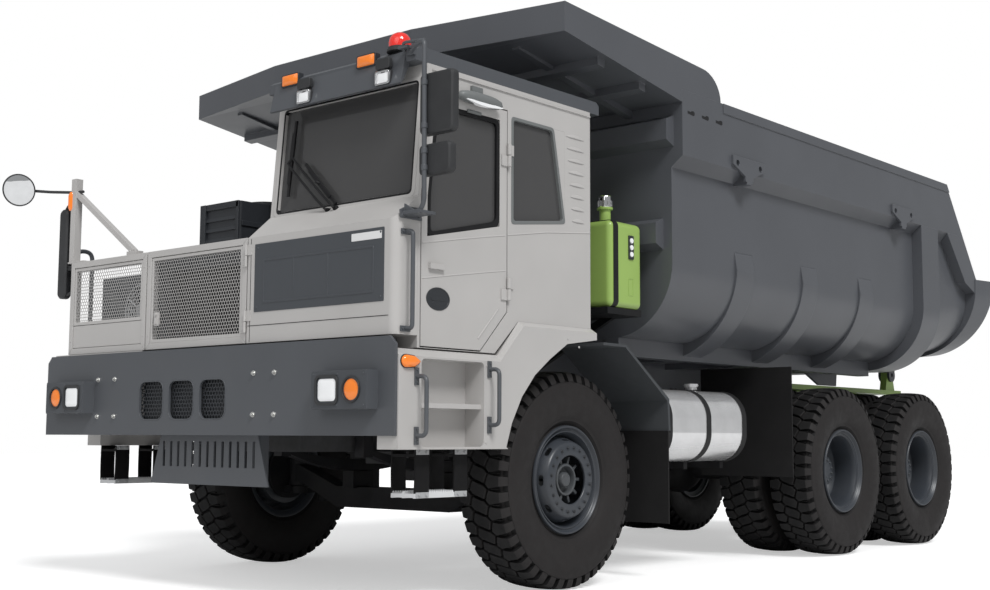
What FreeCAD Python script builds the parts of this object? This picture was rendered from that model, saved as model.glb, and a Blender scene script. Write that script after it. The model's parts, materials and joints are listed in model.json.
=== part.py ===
"""Three-axle open-pit dump truck: frame, offset cab, steered front axle, dual rear wheels and tipping body.

Millimetres. +X points forward, +Y to the truck's left, +Z up. The ground is Z = 0 and Y = 0 is the
truck's centre plane. Each function below makes one named sub-part at its place on the truck.
"""
import FreeCAD, Part
import math
import os

V = FreeCAD.Vector
X_AXIS = V(1, 0, 0)
Y_AXIS = V(0, 1, 0)
Z_AXIS = V(0, 0, 1)

# ---------------------------------------------------------------- overall layout
wheelbase = 3910.0          # front axle to first rear axle
tandem_spacing = 1715.0     # first to second rear axle
front_overhang = 1890.0     # front axle to bumper face
mirror_overhang = 2150.0    # front axle to the front of the round mirror
tail_overhang = 6890.0      # front axle to the tail of the body
front_axle_x = (tail_overhang - mirror_overhang) / 2.0
rear_axle_1_x = front_axle_x - wheelbase
rear_axle_2_x = rear_axle_1_x - tandem_spacing
bumper_face_x = front_axle_x + front_overhang
tail_x = front_axle_x - tail_overhang
rotating_clearance = 0.05   # radial clearance of every shaft, pin and spindle in its bore
moving_gap = 8.0            # air between a moving panel and what it closes on

# ---------------------------------------------------------------- wheels
tyre_radius = 746.5
tyre_section_half = 215.0
tread_half = 171.0
tread_edge_radius = 735.0
bead_radius = 322.0
bead_half = 150.0
rim_flange_radius = 372.0
rim_flange_width = 16.0
rim_barrel_radius = 320.0
rim_barrel_wall = 16.0
bead_clearance = 2.0
front_wheel_y = 1468.0      # centre plane of a front tyre
rear_outer_wheel_y = 1587.0
dual_spacing = 503.0
rear_inner_wheel_y = rear_outer_wheel_y - dual_spacing
disc_wall = 18.0
hub_radius = 165.0
hub_cap_radius = 92.0
spindle_radius = 58.0
drum_radius = 262.0
front_face_y = 196.0        # outer face of a front wheel's dished disc, from the rim's middle
front_face_radius = 240.0
front_disc_root_y = 70.0    # where the dished disc meets the rim barrel

# ---------------------------------------------------------------- frame
rail_outer_y = 480.0
rail_width = 90.0
rail_bottom = 1040.0
rail_top = 1400.0
rail_rear_x = tail_x + 220.0
rail_inner_y = rail_outer_y - rail_width
cross_member_radius = 75.0

# ---------------------------------------------------------------- bumper and under guard
bumper_half_width = 1840.0
bumper_bottom = rail_bottom
bumper_top = 1620.0
bumper_depth = 190.0
bumper_plate = 20.0
bumper_corner_cut = 48.0
bumper_return_half = 1660.0  # the folded top and bottom edges stop between the step boxes
grille_slot_width = 274.0
grille_slot_height = 260.0
grille_slot_pitch = 338.0
grille_slot_middle_y = -186.0
grille_slot_middle_z = 1277.0
lamp_box_depth = 90.0
lamp_box_width = 480.0
lamp_box_height = 228.0
lamp_box_y = 1460.0
lamp_box_z = 1309.0
guard_top_half = 520.0
guard_bottom_half = 625.0
guard_bottom = 712.0
guard_setback = 90.0
guard_plate = 14.0
guard_slot_count = 13
guard_slot_width = 26.0
guard_slot_bottom = 830.0

# ---------------------------------------------------------------- front axle and steering
kingpin_y = 1130.0
kingpin_radius = 38.0
kingpin_eye_radius = 80.0
kingpin_eye_half = 105.0
axle_beam_depth = 150.0
axle_beam_drop = 190.0
steering_arm_length = 260.0
tie_rod_z = 560.0
tie_rod_radius = 26.0
tie_rod_eye_radius = 46.0
tie_rod_pin_radius = 18.0

# ---------------------------------------------------------------- tipping body
body_front_x = front_axle_x - 960.0
body_half_width = 1880.0
body_wall = 25.0
body_floor_z = 1790.0       # underside of the floor plate
body_rim_z = 3623.0
body_corner_radius = 550.0
body_straight_end_x = front_axle_x - 5250.0
tail_rise_slope = 0.125     # rise of the tail floor for each unit of length
tail_top_x = front_axle_x - 5905.0
tail_foot_x = front_axle_x - 6815.0
tail_knee_z = 2470.0
rail_half_width = 1981.0    # outer face of the body's top rail
rail_face_bottom_z = 3125.0
rail_chamfer_z = 3045.0
rim_cap_height = 76.0
rim_cap_proud = 8.0
rim_cap_front_x = front_axle_x - 1540.0
rim_cap_rear_x = front_axle_x - 6000.0
hoop_half_width = 1905.0
hoop_corner_radius = 750.0
hoop_bottom_z = 1655.0
hoop_width = 270.0
hoop_first_x = front_axle_x - 1855.0
hoop_pitch = 1090.0
hoop_count = 3
hoop_tip_z = 2500.0
hoop_taper_z = 2330.0
sill_outer_y = 1390.0
sill_width = 120.0
rest_plate_front_x = front_axle_x - 4580.0
rest_plate_width = 24.0
runner_y = 435.0
runner_width = 110.0
runner_gap = 8.0            # air between the body's runners and the frame rails
post_width = 400.0
post_bottom_z = 1710.0
post_corner_radius = 620.0
lip_width = 310.0
lip_front_z = 1905.0        # underside of the lip at its front edge
lip_rear_z = 1935.0
lip_front_half = 1990.0
lip_rear_half = 2050.0
lip_corner_radius = 720.0
lip_top_z = 2705.0
tail_strip_width = 415.0
wall_rib_depth = 95.0
wall_rib_bottoms = [2430.0, 3200.0]
wall_rib_height = 235.0
wall_rib_slope = 40.0

# ---------------------------------------------------------------- canopy over the cab
canopy_top_front_z = 3939.0
canopy_top_rear_z = 3841.0
canopy_bottom_front_z = 3733.0
canopy_bottom_rear_z = 3526.0
canopy_tip_x = front_axle_x + 468.0
canopy_nose_x = front_axle_x + 670.0
canopy_nose_half = 749.0
canopy_plate = 22.0
canopy_wing_rear_x = front_axle_x - 1236.0
canopy_wing_foot_x = front_axle_x - 1508.0

# ---------------------------------------------------------------- body hinge and hoist
body_hinge_x = front_axle_x - 6450.0
body_hinge_z = 1720.0
body_pin_radius = 35.0
body_eye_radius = 74.0
body_lug_y = 1035.0
body_bearing_width = 70.0
body_lug_wall = 22.0
hinge_side_gap = 5.0
hoist_foot_x = front_axle_x - 490.0
hoist_foot_z = 980.0
hoist_head_x = front_axle_x - 540.0
hoist_head_z = 2750.0
hoist_barrel_radius = 125.0
hoist_stage_step = 17.0
hoist_stage_count = 4
hoist_trunnion_radius = 40.0
trunnion_block_width = 90.0
hoist_lug_gap = 75.0        # centre plane to each lug of the head bracket
hoist_eye_radius = 62.0

# ---------------------------------------------------------------- cab
cab_left_y = 1800.0
cab_right_y = 440.0
cab_front_x = front_axle_x + 1850.0
cab_rear_x = front_axle_x - 50.0
cab_floor_z = 1560.0
cab_roof_z = 3300.0
cab_wall = 50.0
windscreen_foot_x = front_axle_x + 1670.0
windscreen_foot_z = 2480.0
cab_roof_front_x = front_axle_x + 1600.0
nose_wall = 30.0
nose_bottom_z = 1632.0
nose_top_z = 2320.0         # top of the nose at its front face
nose_corner = 60.0
well_inner_y = 1295.0       # the wheel well cut into the cab's floor
well_top_z = 1775.0
well_flat_x = front_axle_x + 735.0
well_front_x = front_axle_x + 965.0
door_front_x = front_axle_x + 1640.0
door_top_front_x = front_axle_x + 1565.0
door_rear_x = front_axle_x + 850.0
door_bottom_z = 1572.0
door_top_z = 3140.0
door_notch_x = front_axle_x + 1105.0
door_notch_z = 1832.0
hinge_radius = 14.0
hinge_length = 70.0
hinge_pitch = 75.0          # from the door's knuckle to the fixed knuckle of one hinge
hinge_offset = 16.0         # hinge line to the face it stands off
glass_wall = 10.0
roof_rear_overhang = 112.0
roof_front_overhang = 100.0
roof_wall = 90.0

# ---------------------------------------------------------------- front panels, fenders and deck
panel_top_z = 2325.0
panel_bottom_z = 1632.0
outer_panel_y0 = -1640.0
outer_panel_y1 = -680.0
inner_panel_y0 = -668.0
inner_panel_y1 = 428.0
panel_depth = 50.0
panel_border = 70.0
mesh_wall = 6.0
fender_outer_y = 1850.0
fender_inner_y = 1679.0
fender_lip_y = 1802.0       # inner edge of the sloped lip, just outside the cab
fender_skin = 12.0
fender_front_x = front_axle_x + 1870.0       # left side, against the bumper plate
right_fender_front_x = front_axle_x + 1524.0
fender_rear_x = front_axle_x - 55.0
fender_bottom_z = 961.0
fender_low_z = 1506.0       # outer edge over the steps
fender_high_z = 1746.0      # outer edge over the wheel
fender_knee_low_x = front_axle_x + 970.0
fender_knee_high_x = front_axle_x + 735.0
lip_rise_low = 44.0
lip_rise_high = 31.0
arch_front_x = front_axle_x + 885.0
arch_rear_z = 1699.0
step_rear_x = front_axle_x + 1120.0
step_front_x = front_axle_x + 1680.0
right_step_front_x = front_axle_x + 1400.0
step_low_z = 976.0
step_high_z = 1494.0
step_shelf_z = 1235.0
deck_inner_y = 700.0
deck_sheet = 10.0
deck_high_z = fender_high_z + lip_rise_high + 2.0
deck_low_z = fender_low_z + lip_rise_low + 2.0
sheet = 8.0


def box(x0, x1, y0, y1, z0, z1):
    """Block between two opposite corners."""
    return Part.makeBox(x1 - x0, y1 - y0, z1 - z0, V(x0, y0, z0))


def rod(start, end, radius):
    """Round bar between two points."""
    path = end - start
    return Part.makeCylinder(radius, path.Length, start, path)


def pipe(start, end, radius, bore):
    """Round tube between two points."""
    return rod(start, end, radius).cut(rod(start, end, bore))


def face_of(points):
    return Part.Face(Part.makePolygon(points + [points[0]]))


def prism_x(outline, x0, x1):
    """Outline of (y, z) points drawn along X."""
    return face_of([V(x0, y, z) for y, z in outline]).extrude(V(x1 - x0, 0, 0))


def prism_y(outline, y0, y1):
    """Outline of (x, z) points drawn along Y."""
    return face_of([V(x, y0, z) for x, z in outline]).extrude(V(0, y1 - y0, 0))


def prism_z(outline, z0, z1):
    """Outline of (x, y) points drawn along Z."""
    return face_of([V(x, y, z0) for x, y in outline]).extrude(V(0, 0, z1 - z0))


def mirrored(shape):
    """The same piece on the truck's other side."""
    return shape.mirror(V(0, 0, 0), Y_AXIS)


def fused(shapes):
    result = shapes[0]
    for shape in shapes[1:]:
        result = result.fuse(shape)
    return result.removeSplitter()


def save(name, shape):
    """Write one node. Several pieces that do not touch are kept as one compound."""
    if isinstance(shape, list):
        shape = Part.makeCompound(shape)
    shape.exportStep("parts/" + name + ".step")


# ================================================================ wheels
def spun(outline, centre):
    """Outline of (y, radius) points turned about the wheel's own axis."""
    points = [V(centre.x, centre.y + y, centre.z + r) for y, r in outline]
    return face_of(points).revolve(centre, Y_AXIS, 360)


def tyre(centre):
    """Tyre as one ring: bead, round sidewalls and a slightly crowned tread."""
    def at(y, r):
        return V(centre.x, centre.y + y, centre.z + r)
    sidewall_top = 700.0
    middle = (rim_flange_radius + sidewall_top) / 2.0
    edges = [
        Part.LineSegment(at(-bead_half, bead_radius), at(bead_half, bead_radius)).toShape(),
        Part.LineSegment(at(bead_half, bead_radius), at(bead_half, rim_flange_radius)).toShape(),
        Part.Arc(at(bead_half, rim_flange_radius), at(tyre_section_half, middle),
                 at(tread_half + 18, sidewall_top)).toShape(),
        Part.LineSegment(at(tread_half + 18, sidewall_top), at(tread_half, tread_edge_radius)).toShape(),
        Part.Arc(at(tread_half, tread_edge_radius), at(0, tyre_radius),
                 at(-tread_half, tread_edge_radius)).toShape(),
        Part.LineSegment(at(-tread_half, tread_edge_radius), at(-tread_half - 18, sidewall_top)).toShape(),
        Part.Arc(at(-tread_half - 18, sidewall_top), at(-tyre_section_half, middle),
                 at(-bead_half, rim_flange_radius)).toShape(),
        Part.LineSegment(at(-bead_half, rim_flange_radius), at(-bead_half, bead_radius)).toShape(),
    ]
    return Part.Face(Part.Wire(edges)).revolve(centre, Y_AXIS, 360)


def rim(centre, disc):
    """Rim barrel with both flanges, and its disc given as an outline of (y, radius)."""
    inner = bead_half + bead_clearance
    outer = inner + rim_flange_width
    bore = rim_barrel_radius - rim_barrel_wall
    barrel = spun([(-outer, rim_flange_radius), (-inner, rim_flange_radius), (-inner, rim_barrel_radius),
                   (inner, rim_barrel_radius), (inner, rim_flange_radius), (outer, rim_flange_radius),
                   (outer, bore), (-outer, bore)], centre)
    return barrel.fuse(spun(disc, centre)).removeSplitter()


def flat_disc(y):
    """Outline of a flat disc at y from the rim's middle, from the hub out to the barrel."""
    low, high = y - disc_wall / 2.0, y + disc_wall / 2.0
    bore = rim_barrel_radius - rim_barrel_wall
    return [(low, hub_radius), (high, hub_radius), (high, bore + 4), (low, bore + 4)]


def dished_disc(side):
    """Outline of a front disc: flat face outboard, cone back to the barrel."""
    bore = rim_barrel_radius - rim_barrel_wall
    back = front_face_y - disc_wall
    return [(side * y, r) for y, r in (
        (back, hub_radius), (front_face_y, hub_radius), (front_face_y, front_face_radius),
        (front_disc_root_y + disc_wall, bore + 4), (front_disc_root_y, bore + 4),
        (back, front_face_radius - disc_wall / 2.0))]


rear_disc_y = 150.0          # outer rear rim's disc lies towards the inner rim
hub_inner_reach = 170.0
hub_barrel_reach = 60.0
hub_cap_end = 160.0
spindle_reach = 50.0


def front_hub(side):
    """Front hub: brake drum, bearing barrel out to the disc's face and a recessed cap, bored for the spindle."""
    centre = V(front_axle_x, side * front_wheel_y, tyre_radius)
    outline = [(-hub_inner_reach, 0), (front_face_y - disc_wall, 0),
               (front_face_y - disc_wall, hub_cap_radius),
               (hub_cap_end, hub_cap_radius), (hub_cap_end, hub_radius - 20), (front_face_y, hub_radius - 20),
               (front_face_y, hub_radius + 2), (hub_barrel_reach, hub_radius + 2),
               (hub_barrel_reach, drum_radius - 30),
               (-hub_inner_reach, drum_radius)]
    body = spun([(side * y, r) for y, r in outline], centre)
    bore_end = centre + V(0, side * (spindle_reach + 20), 0)
    bore = rod(centre - V(0, (hub_inner_reach + 10) * side, 0), bore_end, spindle_radius + rotating_clearance)
    return body.cut(bore).removeSplitter()


def rear_wheel_rims(side, x):
    """Two rear rims on one hub, drums inside, bored for the axle's spindle."""
    outer = V(x, side * rear_outer_wheel_y, tyre_radius)
    inner = V(x, side * rear_inner_wheel_y, tyre_radius)
    pieces = [rim(outer, flat_disc(-side * rear_disc_y)), rim(inner, flat_disc(side * rear_disc_y))]
    reach = 120.0
    y_in = side * (rear_inner_wheel_y - reach)
    y_disc = side * (rear_outer_wheel_y - rear_disc_y + disc_wall)
    y_cap = side * (rear_outer_wheel_y + 10.0)
    barrel = rod(V(x, y_in, tyre_radius), V(x, y_disc, tyre_radius), hub_radius)
    cap = rod(V(x, y_disc, tyre_radius), V(x, y_cap, tyre_radius), hub_radius - 35)
    drum = rod(V(x, y_in, tyre_radius), V(x, side * (rear_inner_wheel_y + 100), tyre_radius), drum_radius)
    bore = rod(V(x, y_in - side * 10, tyre_radius), V(x, y_disc, tyre_radius),
               spindle_radius + rotating_clearance)
    return fused(pieces + [barrel, cap, drum]).cut(bore)


def make_wheels():
    for label, side in (("left", 1), ("right", -1)):
        centre = V(front_axle_x, side * front_wheel_y, tyre_radius)
        save("front_" + label + "_tyre", tyre(centre))
        save("front_" + label + "_rim", fused([rim(centre, dished_disc(side)), front_hub(side)]))
        for number, x in ((1, rear_axle_1_x), (2, rear_axle_2_x)):
            name = "rear_%s_%d" % (label, number)
            tyres = [tyre(V(x, side * y, tyre_radius)) for y in (rear_outer_wheel_y, rear_inner_wheel_y)]
            save(name + "_tyres", tyres)
            save(name + "_rims", rear_wheel_rims(side, x))


# ================================================================ frame, axles and springs
def frame_rail(side):
    y0, y1 = sorted((side * rail_inner_y, side * rail_outer_y))
    return box(rail_rear_x, bumper_face_x - bumper_depth, y0, y1, rail_bottom, rail_top)


cross_member_x = [front_axle_x + 1450.0, front_axle_x - 1100.0, rear_axle_1_x + 600.0,
                  (rear_axle_1_x + rear_axle_2_x) / 2.0, rail_rear_x + 160.0]


tow_plate_half = 700.0
tow_plate_low = 1080.0
tow_plate_high = 1340.0
tow_plate_wall = 14.0
tow_lug_y = 45.0
tow_lug_wall = 30.0
tow_hole_radius = 26.0
tow_reach = 90.0
lamp_hole_radius = 7.0
lamp_hole_spacing_y = 160.0
lamp_hole_spacing_z = 90.0
lamp_holes_y = 540.0
support_high_z = cab_floor_z
support_depth = 47.0


def tow_plate():
    """Plate across the rails' rear ends, with two bored tow lugs and holes for a lamp on each side."""
    x1 = rail_rear_x
    z = (tow_plate_low + tow_plate_high) / 2.0
    plate = box(x1 - tow_plate_wall, x1, -tow_plate_half, tow_plate_half, tow_plate_low, tow_plate_high)
    pin_x = x1 - tow_plate_wall - tow_reach
    for side in (1, -1):
        y0, y1 = side * tow_lug_y - tow_lug_wall / 2.0, side * tow_lug_y + tow_lug_wall / 2.0
        plate = plate.fuse(box(pin_x, x1 - tow_plate_wall, y0, y1, z - 50, z + 50))
        plate = plate.fuse(rod(V(pin_x, y0, z), V(pin_x, y1, z), 50))
        for dy in (-0.5, 0.5):
            for dz in (-0.5, 0.5):
                at = V(x1 - tow_plate_wall - 5, side * lamp_holes_y + dy * lamp_hole_spacing_y,
                       z + dz * lamp_hole_spacing_z)
                plate = plate.cut(rod(at, at + V(tow_plate_wall + 10, 0, 0), lamp_hole_radius))
    return plate.cut(rod(V(pin_x, -200, z), V(pin_x, 200, z), tow_hole_radius))


def frame_cross_members():
    z = (rail_bottom + rail_top) / 2.0
    return [rod(V(x, -rail_inner_y - 1, z), V(x, rail_inner_y + 1, z), cross_member_radius)
            for x in cross_member_x]


def cab_support(x0, x1, side, reach, low, high):
    """Pedestal on a rail with an arm that carries the cab or the deck over the wheel."""
    y0, y1 = sorted((side * rail_inner_y, side * rail_outer_y))
    a0, a1 = sorted((side * rail_inner_y, side * reach))
    return [box(x0, x1, y0, y1, rail_top - 1, high), box(x0, x1, a0, a1, low, high)]


support_rear_x = front_axle_x + 20.0
support_front_x = front_axle_x + 1190.0
support_width = 90.0
rear_support_reach = 1180.0


def chassis_frame():
    """Ladder frame: two rails, cross tubes, tow plate, hoist trunnion blocks and the cab's supports."""
    pieces = [frame_rail(1), frame_rail(-1)] + frame_cross_members() + hoist_cradle() + [tow_plate()]
    for side, high in ((1, support_high_z), (-1, deck_low_z)):
        rear = support_high_z - support_depth
        pieces += cab_support(support_rear_x, support_rear_x + support_width, side, rear_support_reach, rear,
                              support_high_z)
        pieces += cab_support(support_front_x, support_front_x + support_width, side, fender_inner_y + 60,
                              fender_low_z, high)
    post_y = deck_inner_y + 90
    pieces.append(box(support_rear_x, support_rear_x + support_width, -post_y, -post_y + 80,
                      support_high_z - 1,
                      deck_high_z))
    return fused(pieces)


front_spring_half = 780.0
front_spring_width = 90.0
front_spring_depth = 90.0
front_spring_z = 860.0


def front_springs():
    """Two leaf packs under the rails, each hung from an eye bracket at both ends."""
    springs = []
    for side in (1, -1):
        y0 = side * (rail_outer_y - rail_width / 2.0) - front_spring_width / 2.0
        end_z = rail_bottom - 90
        top = Part.Arc(V(front_axle_x - front_spring_half, y0, end_z), V(front_axle_x, y0, front_spring_z),
                       V(front_axle_x + front_spring_half, y0, end_z)).toShape()
        low = Part.Arc(V(front_axle_x + front_spring_half, y0, end_z - 30),
                       V(front_axle_x, y0, front_spring_z - front_spring_depth),
                       V(front_axle_x - front_spring_half, y0, end_z - 30)).toShape()
        ends = [Part.makeLine(V(front_axle_x + s * front_spring_half, y0, end_z),
                              V(front_axle_x + s * front_spring_half, y0, end_z - 30)) for s in (1, -1)]
        pack = Part.Face(Part.Wire([top, ends[0], low, ends[1]])).extrude(V(0, front_spring_width, 0))
        hangers = [box(front_axle_x + s * front_spring_half - 45, front_axle_x + s * front_spring_half + 45,
                       y0, y0 + front_spring_width, end_z - 60, rail_bottom) for s in (1, -1)]
        springs.append(fused([pack] + hangers))
    return springs


def front_axle_beam():
    """Dropped beam with a forked eye at each kingpin."""
    half = axle_beam_depth / 2.0
    z = tyre_radius
    drop = z - axle_beam_drop
    seat = rail_outer_y + 120
    eye = kingpin_y - kingpin_eye_radius
    end = kingpin_y
    outline = [(-end, z + 60), (-eye, z + 60), (-seat, drop + 90), (seat, drop + 90), (eye, z + 60),
               (end, z + 60),
               (end, z - 70), (eye, z - 70), (seat, drop - 70), (-seat, drop - 70), (-eye, z - 70),
               (-end, z - 70)]
    beam = prism_x(outline, front_axle_x - half, front_axle_x + half)
    pads = [box(front_axle_x - 110, front_axle_x + 110, s * (rail_outer_y - rail_width / 2.0) - 60,
                s * (rail_outer_y - rail_width / 2.0) + 60, drop + 80, front_spring_z - front_spring_depth)
            for s in (1, -1)]
    eyes = []
    for s in (1, -1):
        foot = V(front_axle_x, s * kingpin_y, z - kingpin_eye_half)
        head = V(front_axle_x, s * kingpin_y, z + kingpin_eye_half)
        eyes.append(rod(foot, head, kingpin_eye_radius))
    bores = [rod(V(front_axle_x, s * kingpin_y, z - 300), V(front_axle_x, s * kingpin_y, z + 300),
                 kingpin_radius + rotating_clearance) for s in (1, -1)]
    return fused([beam] + pads + eyes).cut(Part.makeCompound(bores))


def knuckle(side):
    """Kingpin with upper and lower forks, backing plate, spindle and rearward steering arm."""
    z = tyre_radius
    y = side * kingpin_y
    gap = 6.0
    fork = 60.0
    fork_low = z - kingpin_eye_half - gap - fork
    fork_high = z + kingpin_eye_half + gap
    plate_y = side * (front_wheel_y - hub_inner_reach - 20)
    pieces = [rod(V(front_axle_x, y, fork_low), V(front_axle_x, y, fork_high + fork), kingpin_radius)]
    for low in (fork_low, fork_high):
        pieces.append(rod(V(front_axle_x, y, low), V(front_axle_x, y, low + fork), kingpin_eye_radius - 10))
        y0, y1 = sorted((y, plate_y))
        pieces.append(box(front_axle_x - 60, front_axle_x + 60, y0, y1, low, low + fork))
    pieces.append(rod(V(front_axle_x, plate_y - side * 30, z), V(front_axle_x, plate_y, z), 215))
    tip = side * (front_wheel_y + spindle_reach)
    pieces.append(rod(V(front_axle_x, plate_y, z), V(front_axle_x, tip, z), spindle_radius))
    arm_x = front_axle_x - steering_arm_length
    pieces.append(box(arm_x, front_axle_x, y - 35, y + 35, fork_low, fork_low + 40))
    arm_top = fork_low + 40
    pieces.append(rod(V(arm_x, y, fork_low), V(arm_x, y, arm_top), tie_rod_eye_radius))
    pieces.append(rod(V(arm_x, y, tie_rod_z - 25), V(arm_x, y, arm_top), tie_rod_pin_radius))
    return fused(pieces)


def tie_rod():
    """Cross rod between the two steering arms, an open eye at each end."""
    x = front_axle_x - steering_arm_length
    bar = rod(V(x, -kingpin_y, tie_rod_z - 30), V(x, kingpin_y, tie_rod_z - 30), tie_rod_radius)
    eyes = [rod(V(x, s * kingpin_y, tie_rod_z - 60), V(x, s * kingpin_y, tie_rod_z - 2), tie_rod_eye_radius)
            for s in (1, -1)]
    bores = [rod(V(x, s * kingpin_y, tie_rod_z - 70), V(x, s * kingpin_y, tie_rod_z + 70),
                 tie_rod_pin_radius + rotating_clearance) for s in (1, -1)]
    return fused([bar] + eyes).cut(Part.makeCompound(bores))


housing_tube_radius = 105.0
housing_bowl_radius = 240.0


def rear_axle_housing(x):
    """Axle tube with its round differential bowl and a spindle at each end."""
    inner = rear_inner_wheel_y - 120 - 15
    tip = rear_outer_wheel_y - rear_disc_y
    tube = rod(V(x, -inner, tyre_radius), V(x, inner, tyre_radius), housing_tube_radius)
    bowl = Part.makeSphere(housing_bowl_radius, V(x, 0, tyre_radius))
    spindle = rod(V(x, -tip, tyre_radius), V(x, tip, tyre_radius), spindle_radius)
    nose = rod(V(x, 0, tyre_radius), V(x + 360, 0, tyre_radius + 60), 90)
    return fused([tube, bowl, spindle, nose])


rear_spring_y = 600.0
rear_spring_width = 120.0


def rear_springs():
    """One inverted leaf pack on each side, resting on both axles and clamped over a trunnion."""
    middle_x = (rear_axle_1_x + rear_axle_2_x) / 2.0
    low_z = tyre_radius + housing_tube_radius
    springs = []
    for side in (1, -1):
        y0 = side * rear_spring_y - rear_spring_width / 2.0
        half = tandem_spacing / 2.0 + 120
        top = Part.Arc(V(middle_x - half, y0, low_z + 50), V(middle_x, y0, low_z + 240),
                       V(middle_x + half, y0, low_z + 50)).toShape()
        low = Part.Arc(V(middle_x + half, y0, low_z), V(middle_x, y0, low_z + 60),
                       V(middle_x - half, y0, low_z)).toShape()
        ends = [Part.makeLine(V(middle_x + s * half, y0, low_z + 50), V(middle_x + s * half, y0, low_z))
                for s in (1, -1)]
        pack = Part.Face(Part.Wire([top, ends[0], low, ends[1]])).extrude(V(0, rear_spring_width, 0))
        seat = box(middle_x - 150, middle_x + 150, y0 - 10, y0 + rear_spring_width + 10, low_z - 120,
                   low_z + 80)
        inward0, inward1 = sorted((side * rail_outer_y, side * (rear_spring_y + 40)))
        bracket = box(middle_x - 110, middle_x + 110, inward0, inward1, low_z - 110, rail_bottom + 120)
        springs.append(fused([pack, seat, bracket]))
    return springs


propshaft_radius = 55.0
pinion_reach = 380.0        # axle centre to the end of its propshaft


def propshafts():
    """Shaft from the gearbox to the first axle, and from the first axle to the second."""
    z = tyre_radius + 60
    behind = rear_axle_1_x - housing_bowl_radius - 5
    first = rod(V(gearbox_rear_x - 2, 0, output_z), V(rear_axle_1_x + pinion_reach, 0, z), propshaft_radius)
    second = rod(V(behind, 0, z), V(rear_axle_2_x + pinion_reach, 0, z), propshaft_radius)
    return [first, second]


engine_width = 720.0
engine_front_x = front_axle_x + 1300.0
engine_rear_x = front_axle_x + 120.0
gearbox_rear_x = front_axle_x - 330.0
output_z = 790.0            # height of the gearbox's output shaft


def engine_block():
    """Engine as one plain block with its gearbox behind."""
    half = engine_width / 2.0
    engine = box(engine_rear_x, engine_front_x, -half, half, 930, 1980)
    gearbox = box(gearbox_rear_x, engine_rear_x, -230, 230, 830, 1290)
    drop = box(gearbox_rear_x, front_axle_x - 120, -150, 150, output_z - 90, 840)
    return fused([engine, gearbox, drop])


radiator_bottom_z = 1430.0
radiator_top_z = 2250.0
fan_centre = V(0, -120, 1840)
fan_shroud_radius = 390.0


def radiator():
    """Radiator core on two feet, with a round fan shroud on its rear face."""
    x = cab_front_x - 180
    core = box(x - 110, x, -640, 400, radiator_bottom_z, radiator_top_z)
    at = V(x, 0, 0) + fan_centre
    shroud = pipe(at - V(260, 0, 0), at - V(109, 0, 0), fan_shroud_radius, fan_shroud_radius - 15)
    feet = [box(x - 100, x - 10, y0, y0 + 60, rail_top, radiator_bottom_z + 1)
            for y0 in (-470, rail_inner_y - 50)]
    blades = []
    for i in range(8):
        blade = box(x - 150, x - 130, -45, 45, 60, fan_shroud_radius - 30)
        blade.rotate(V(x - 140, 0, 200), Z_AXIS, 28)
        blade.rotate(V(0, 0, 0), X_AXIS, 45 * i)
        blade.translate(fan_centre)
        blades.append(blade)
    fan_hub = rod(at - V(175, 0, 0), at - V(109, 0, 0), 85)
    return fused([core, shroud, fan_hub] + feet + blades)


hood_front_x = front_axle_x + 1400.0
hood_rear_x = front_axle_x + 60.0
hood_left_y = 412.0
hood_right_y = -690.0
hood_top_z = 2200.0


def engine_hood():
    """Sheet cover over the engine, open underneath, standing on the cab's supports."""
    whole = box(hood_rear_x, hood_front_x, hood_right_y, hood_left_y, support_high_z, hood_top_z)
    whole = whole.makeChamfer(60, [e for e in whole.Edges if abs(e.Vertexes[0].Z - hood_top_z) < 1
                                   and abs(e.Vertexes[1].Z - hood_top_z) < 1
                                   and abs(e.Vertexes[0].Y - e.Vertexes[1].Y) < 1])
    room = box(hood_rear_x + sheet, hood_front_x + 1, hood_right_y + sheet, hood_left_y - sheet,
               support_high_z - 1,
               hood_top_z - sheet)
    room = room.makeChamfer(60, [e for e in room.Edges if abs(e.Vertexes[0].Z - hood_top_z + sheet) < 1
                                 and abs(e.Vertexes[1].Z - hood_top_z + sheet) < 1
                                 and abs(e.Vertexes[0].Y - e.Vertexes[1].Y) < 1])
    return whole.cut(room)


# ================================================================ bumper and guard
def front_bumper():
    """Wide flat steel bumper with folded top and bottom edges, three openings and two lamp boxes."""
    cut = bumper_corner_cut
    w = bumper_half_width
    outline = [(-w, bumper_bottom), (w, bumper_bottom), (w, bumper_top - cut), (w - cut, bumper_top),
               (-w + cut, bumper_top), (-w, bumper_top - cut)]
    rear = bumper_face_x - bumper_depth
    back = bumper_face_x - bumper_plate
    shell = prism_x(outline, back, bumper_face_x)
    half = bumper_return_half
    wall = 12.0
    for z in (bumper_bottom, bumper_top - wall):
        shell = shell.fuse(box(rear, back + 1, -half, half, z, z + wall))
    for y in (-half, half - wall):
        shell = shell.fuse(box(rear, back + 1, y, y + wall, bumper_bottom, bumper_top))
    for i in (-1, 0, 1):
        shell = shell.cut(rounded_slot(grille_slot_middle_y + i * grille_slot_pitch))
    return fused([shell, lamp_box(lamp_box_y), lamp_box(-lamp_box_y)])


def rounded_slot(y):
    """Upright opening with round corners, through the bumper's face."""
    corner = 62.0
    half_w, half_h = grille_slot_width / 2.0, grille_slot_height / 2.0
    z = grille_slot_middle_z
    x0, x1 = bumper_face_x - bumper_plate - 2, bumper_face_x + 2
    block = box(x0, x1, y - half_w, y + half_w, z - half_h, z + half_h)
    upright = [e for e in block.Edges if abs(e.tangentAt(e.FirstParameter).x) > 0.9]
    return block.makeFillet(corner, upright)


def lamp_box(y):
    half = lamp_box_width / 2.0
    return box(bumper_face_x, bumper_face_x + lamp_box_depth, y - half, y + half,
               lamp_box_z - lamp_box_height / 2.0, lamp_box_z + lamp_box_height / 2.0)


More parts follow.
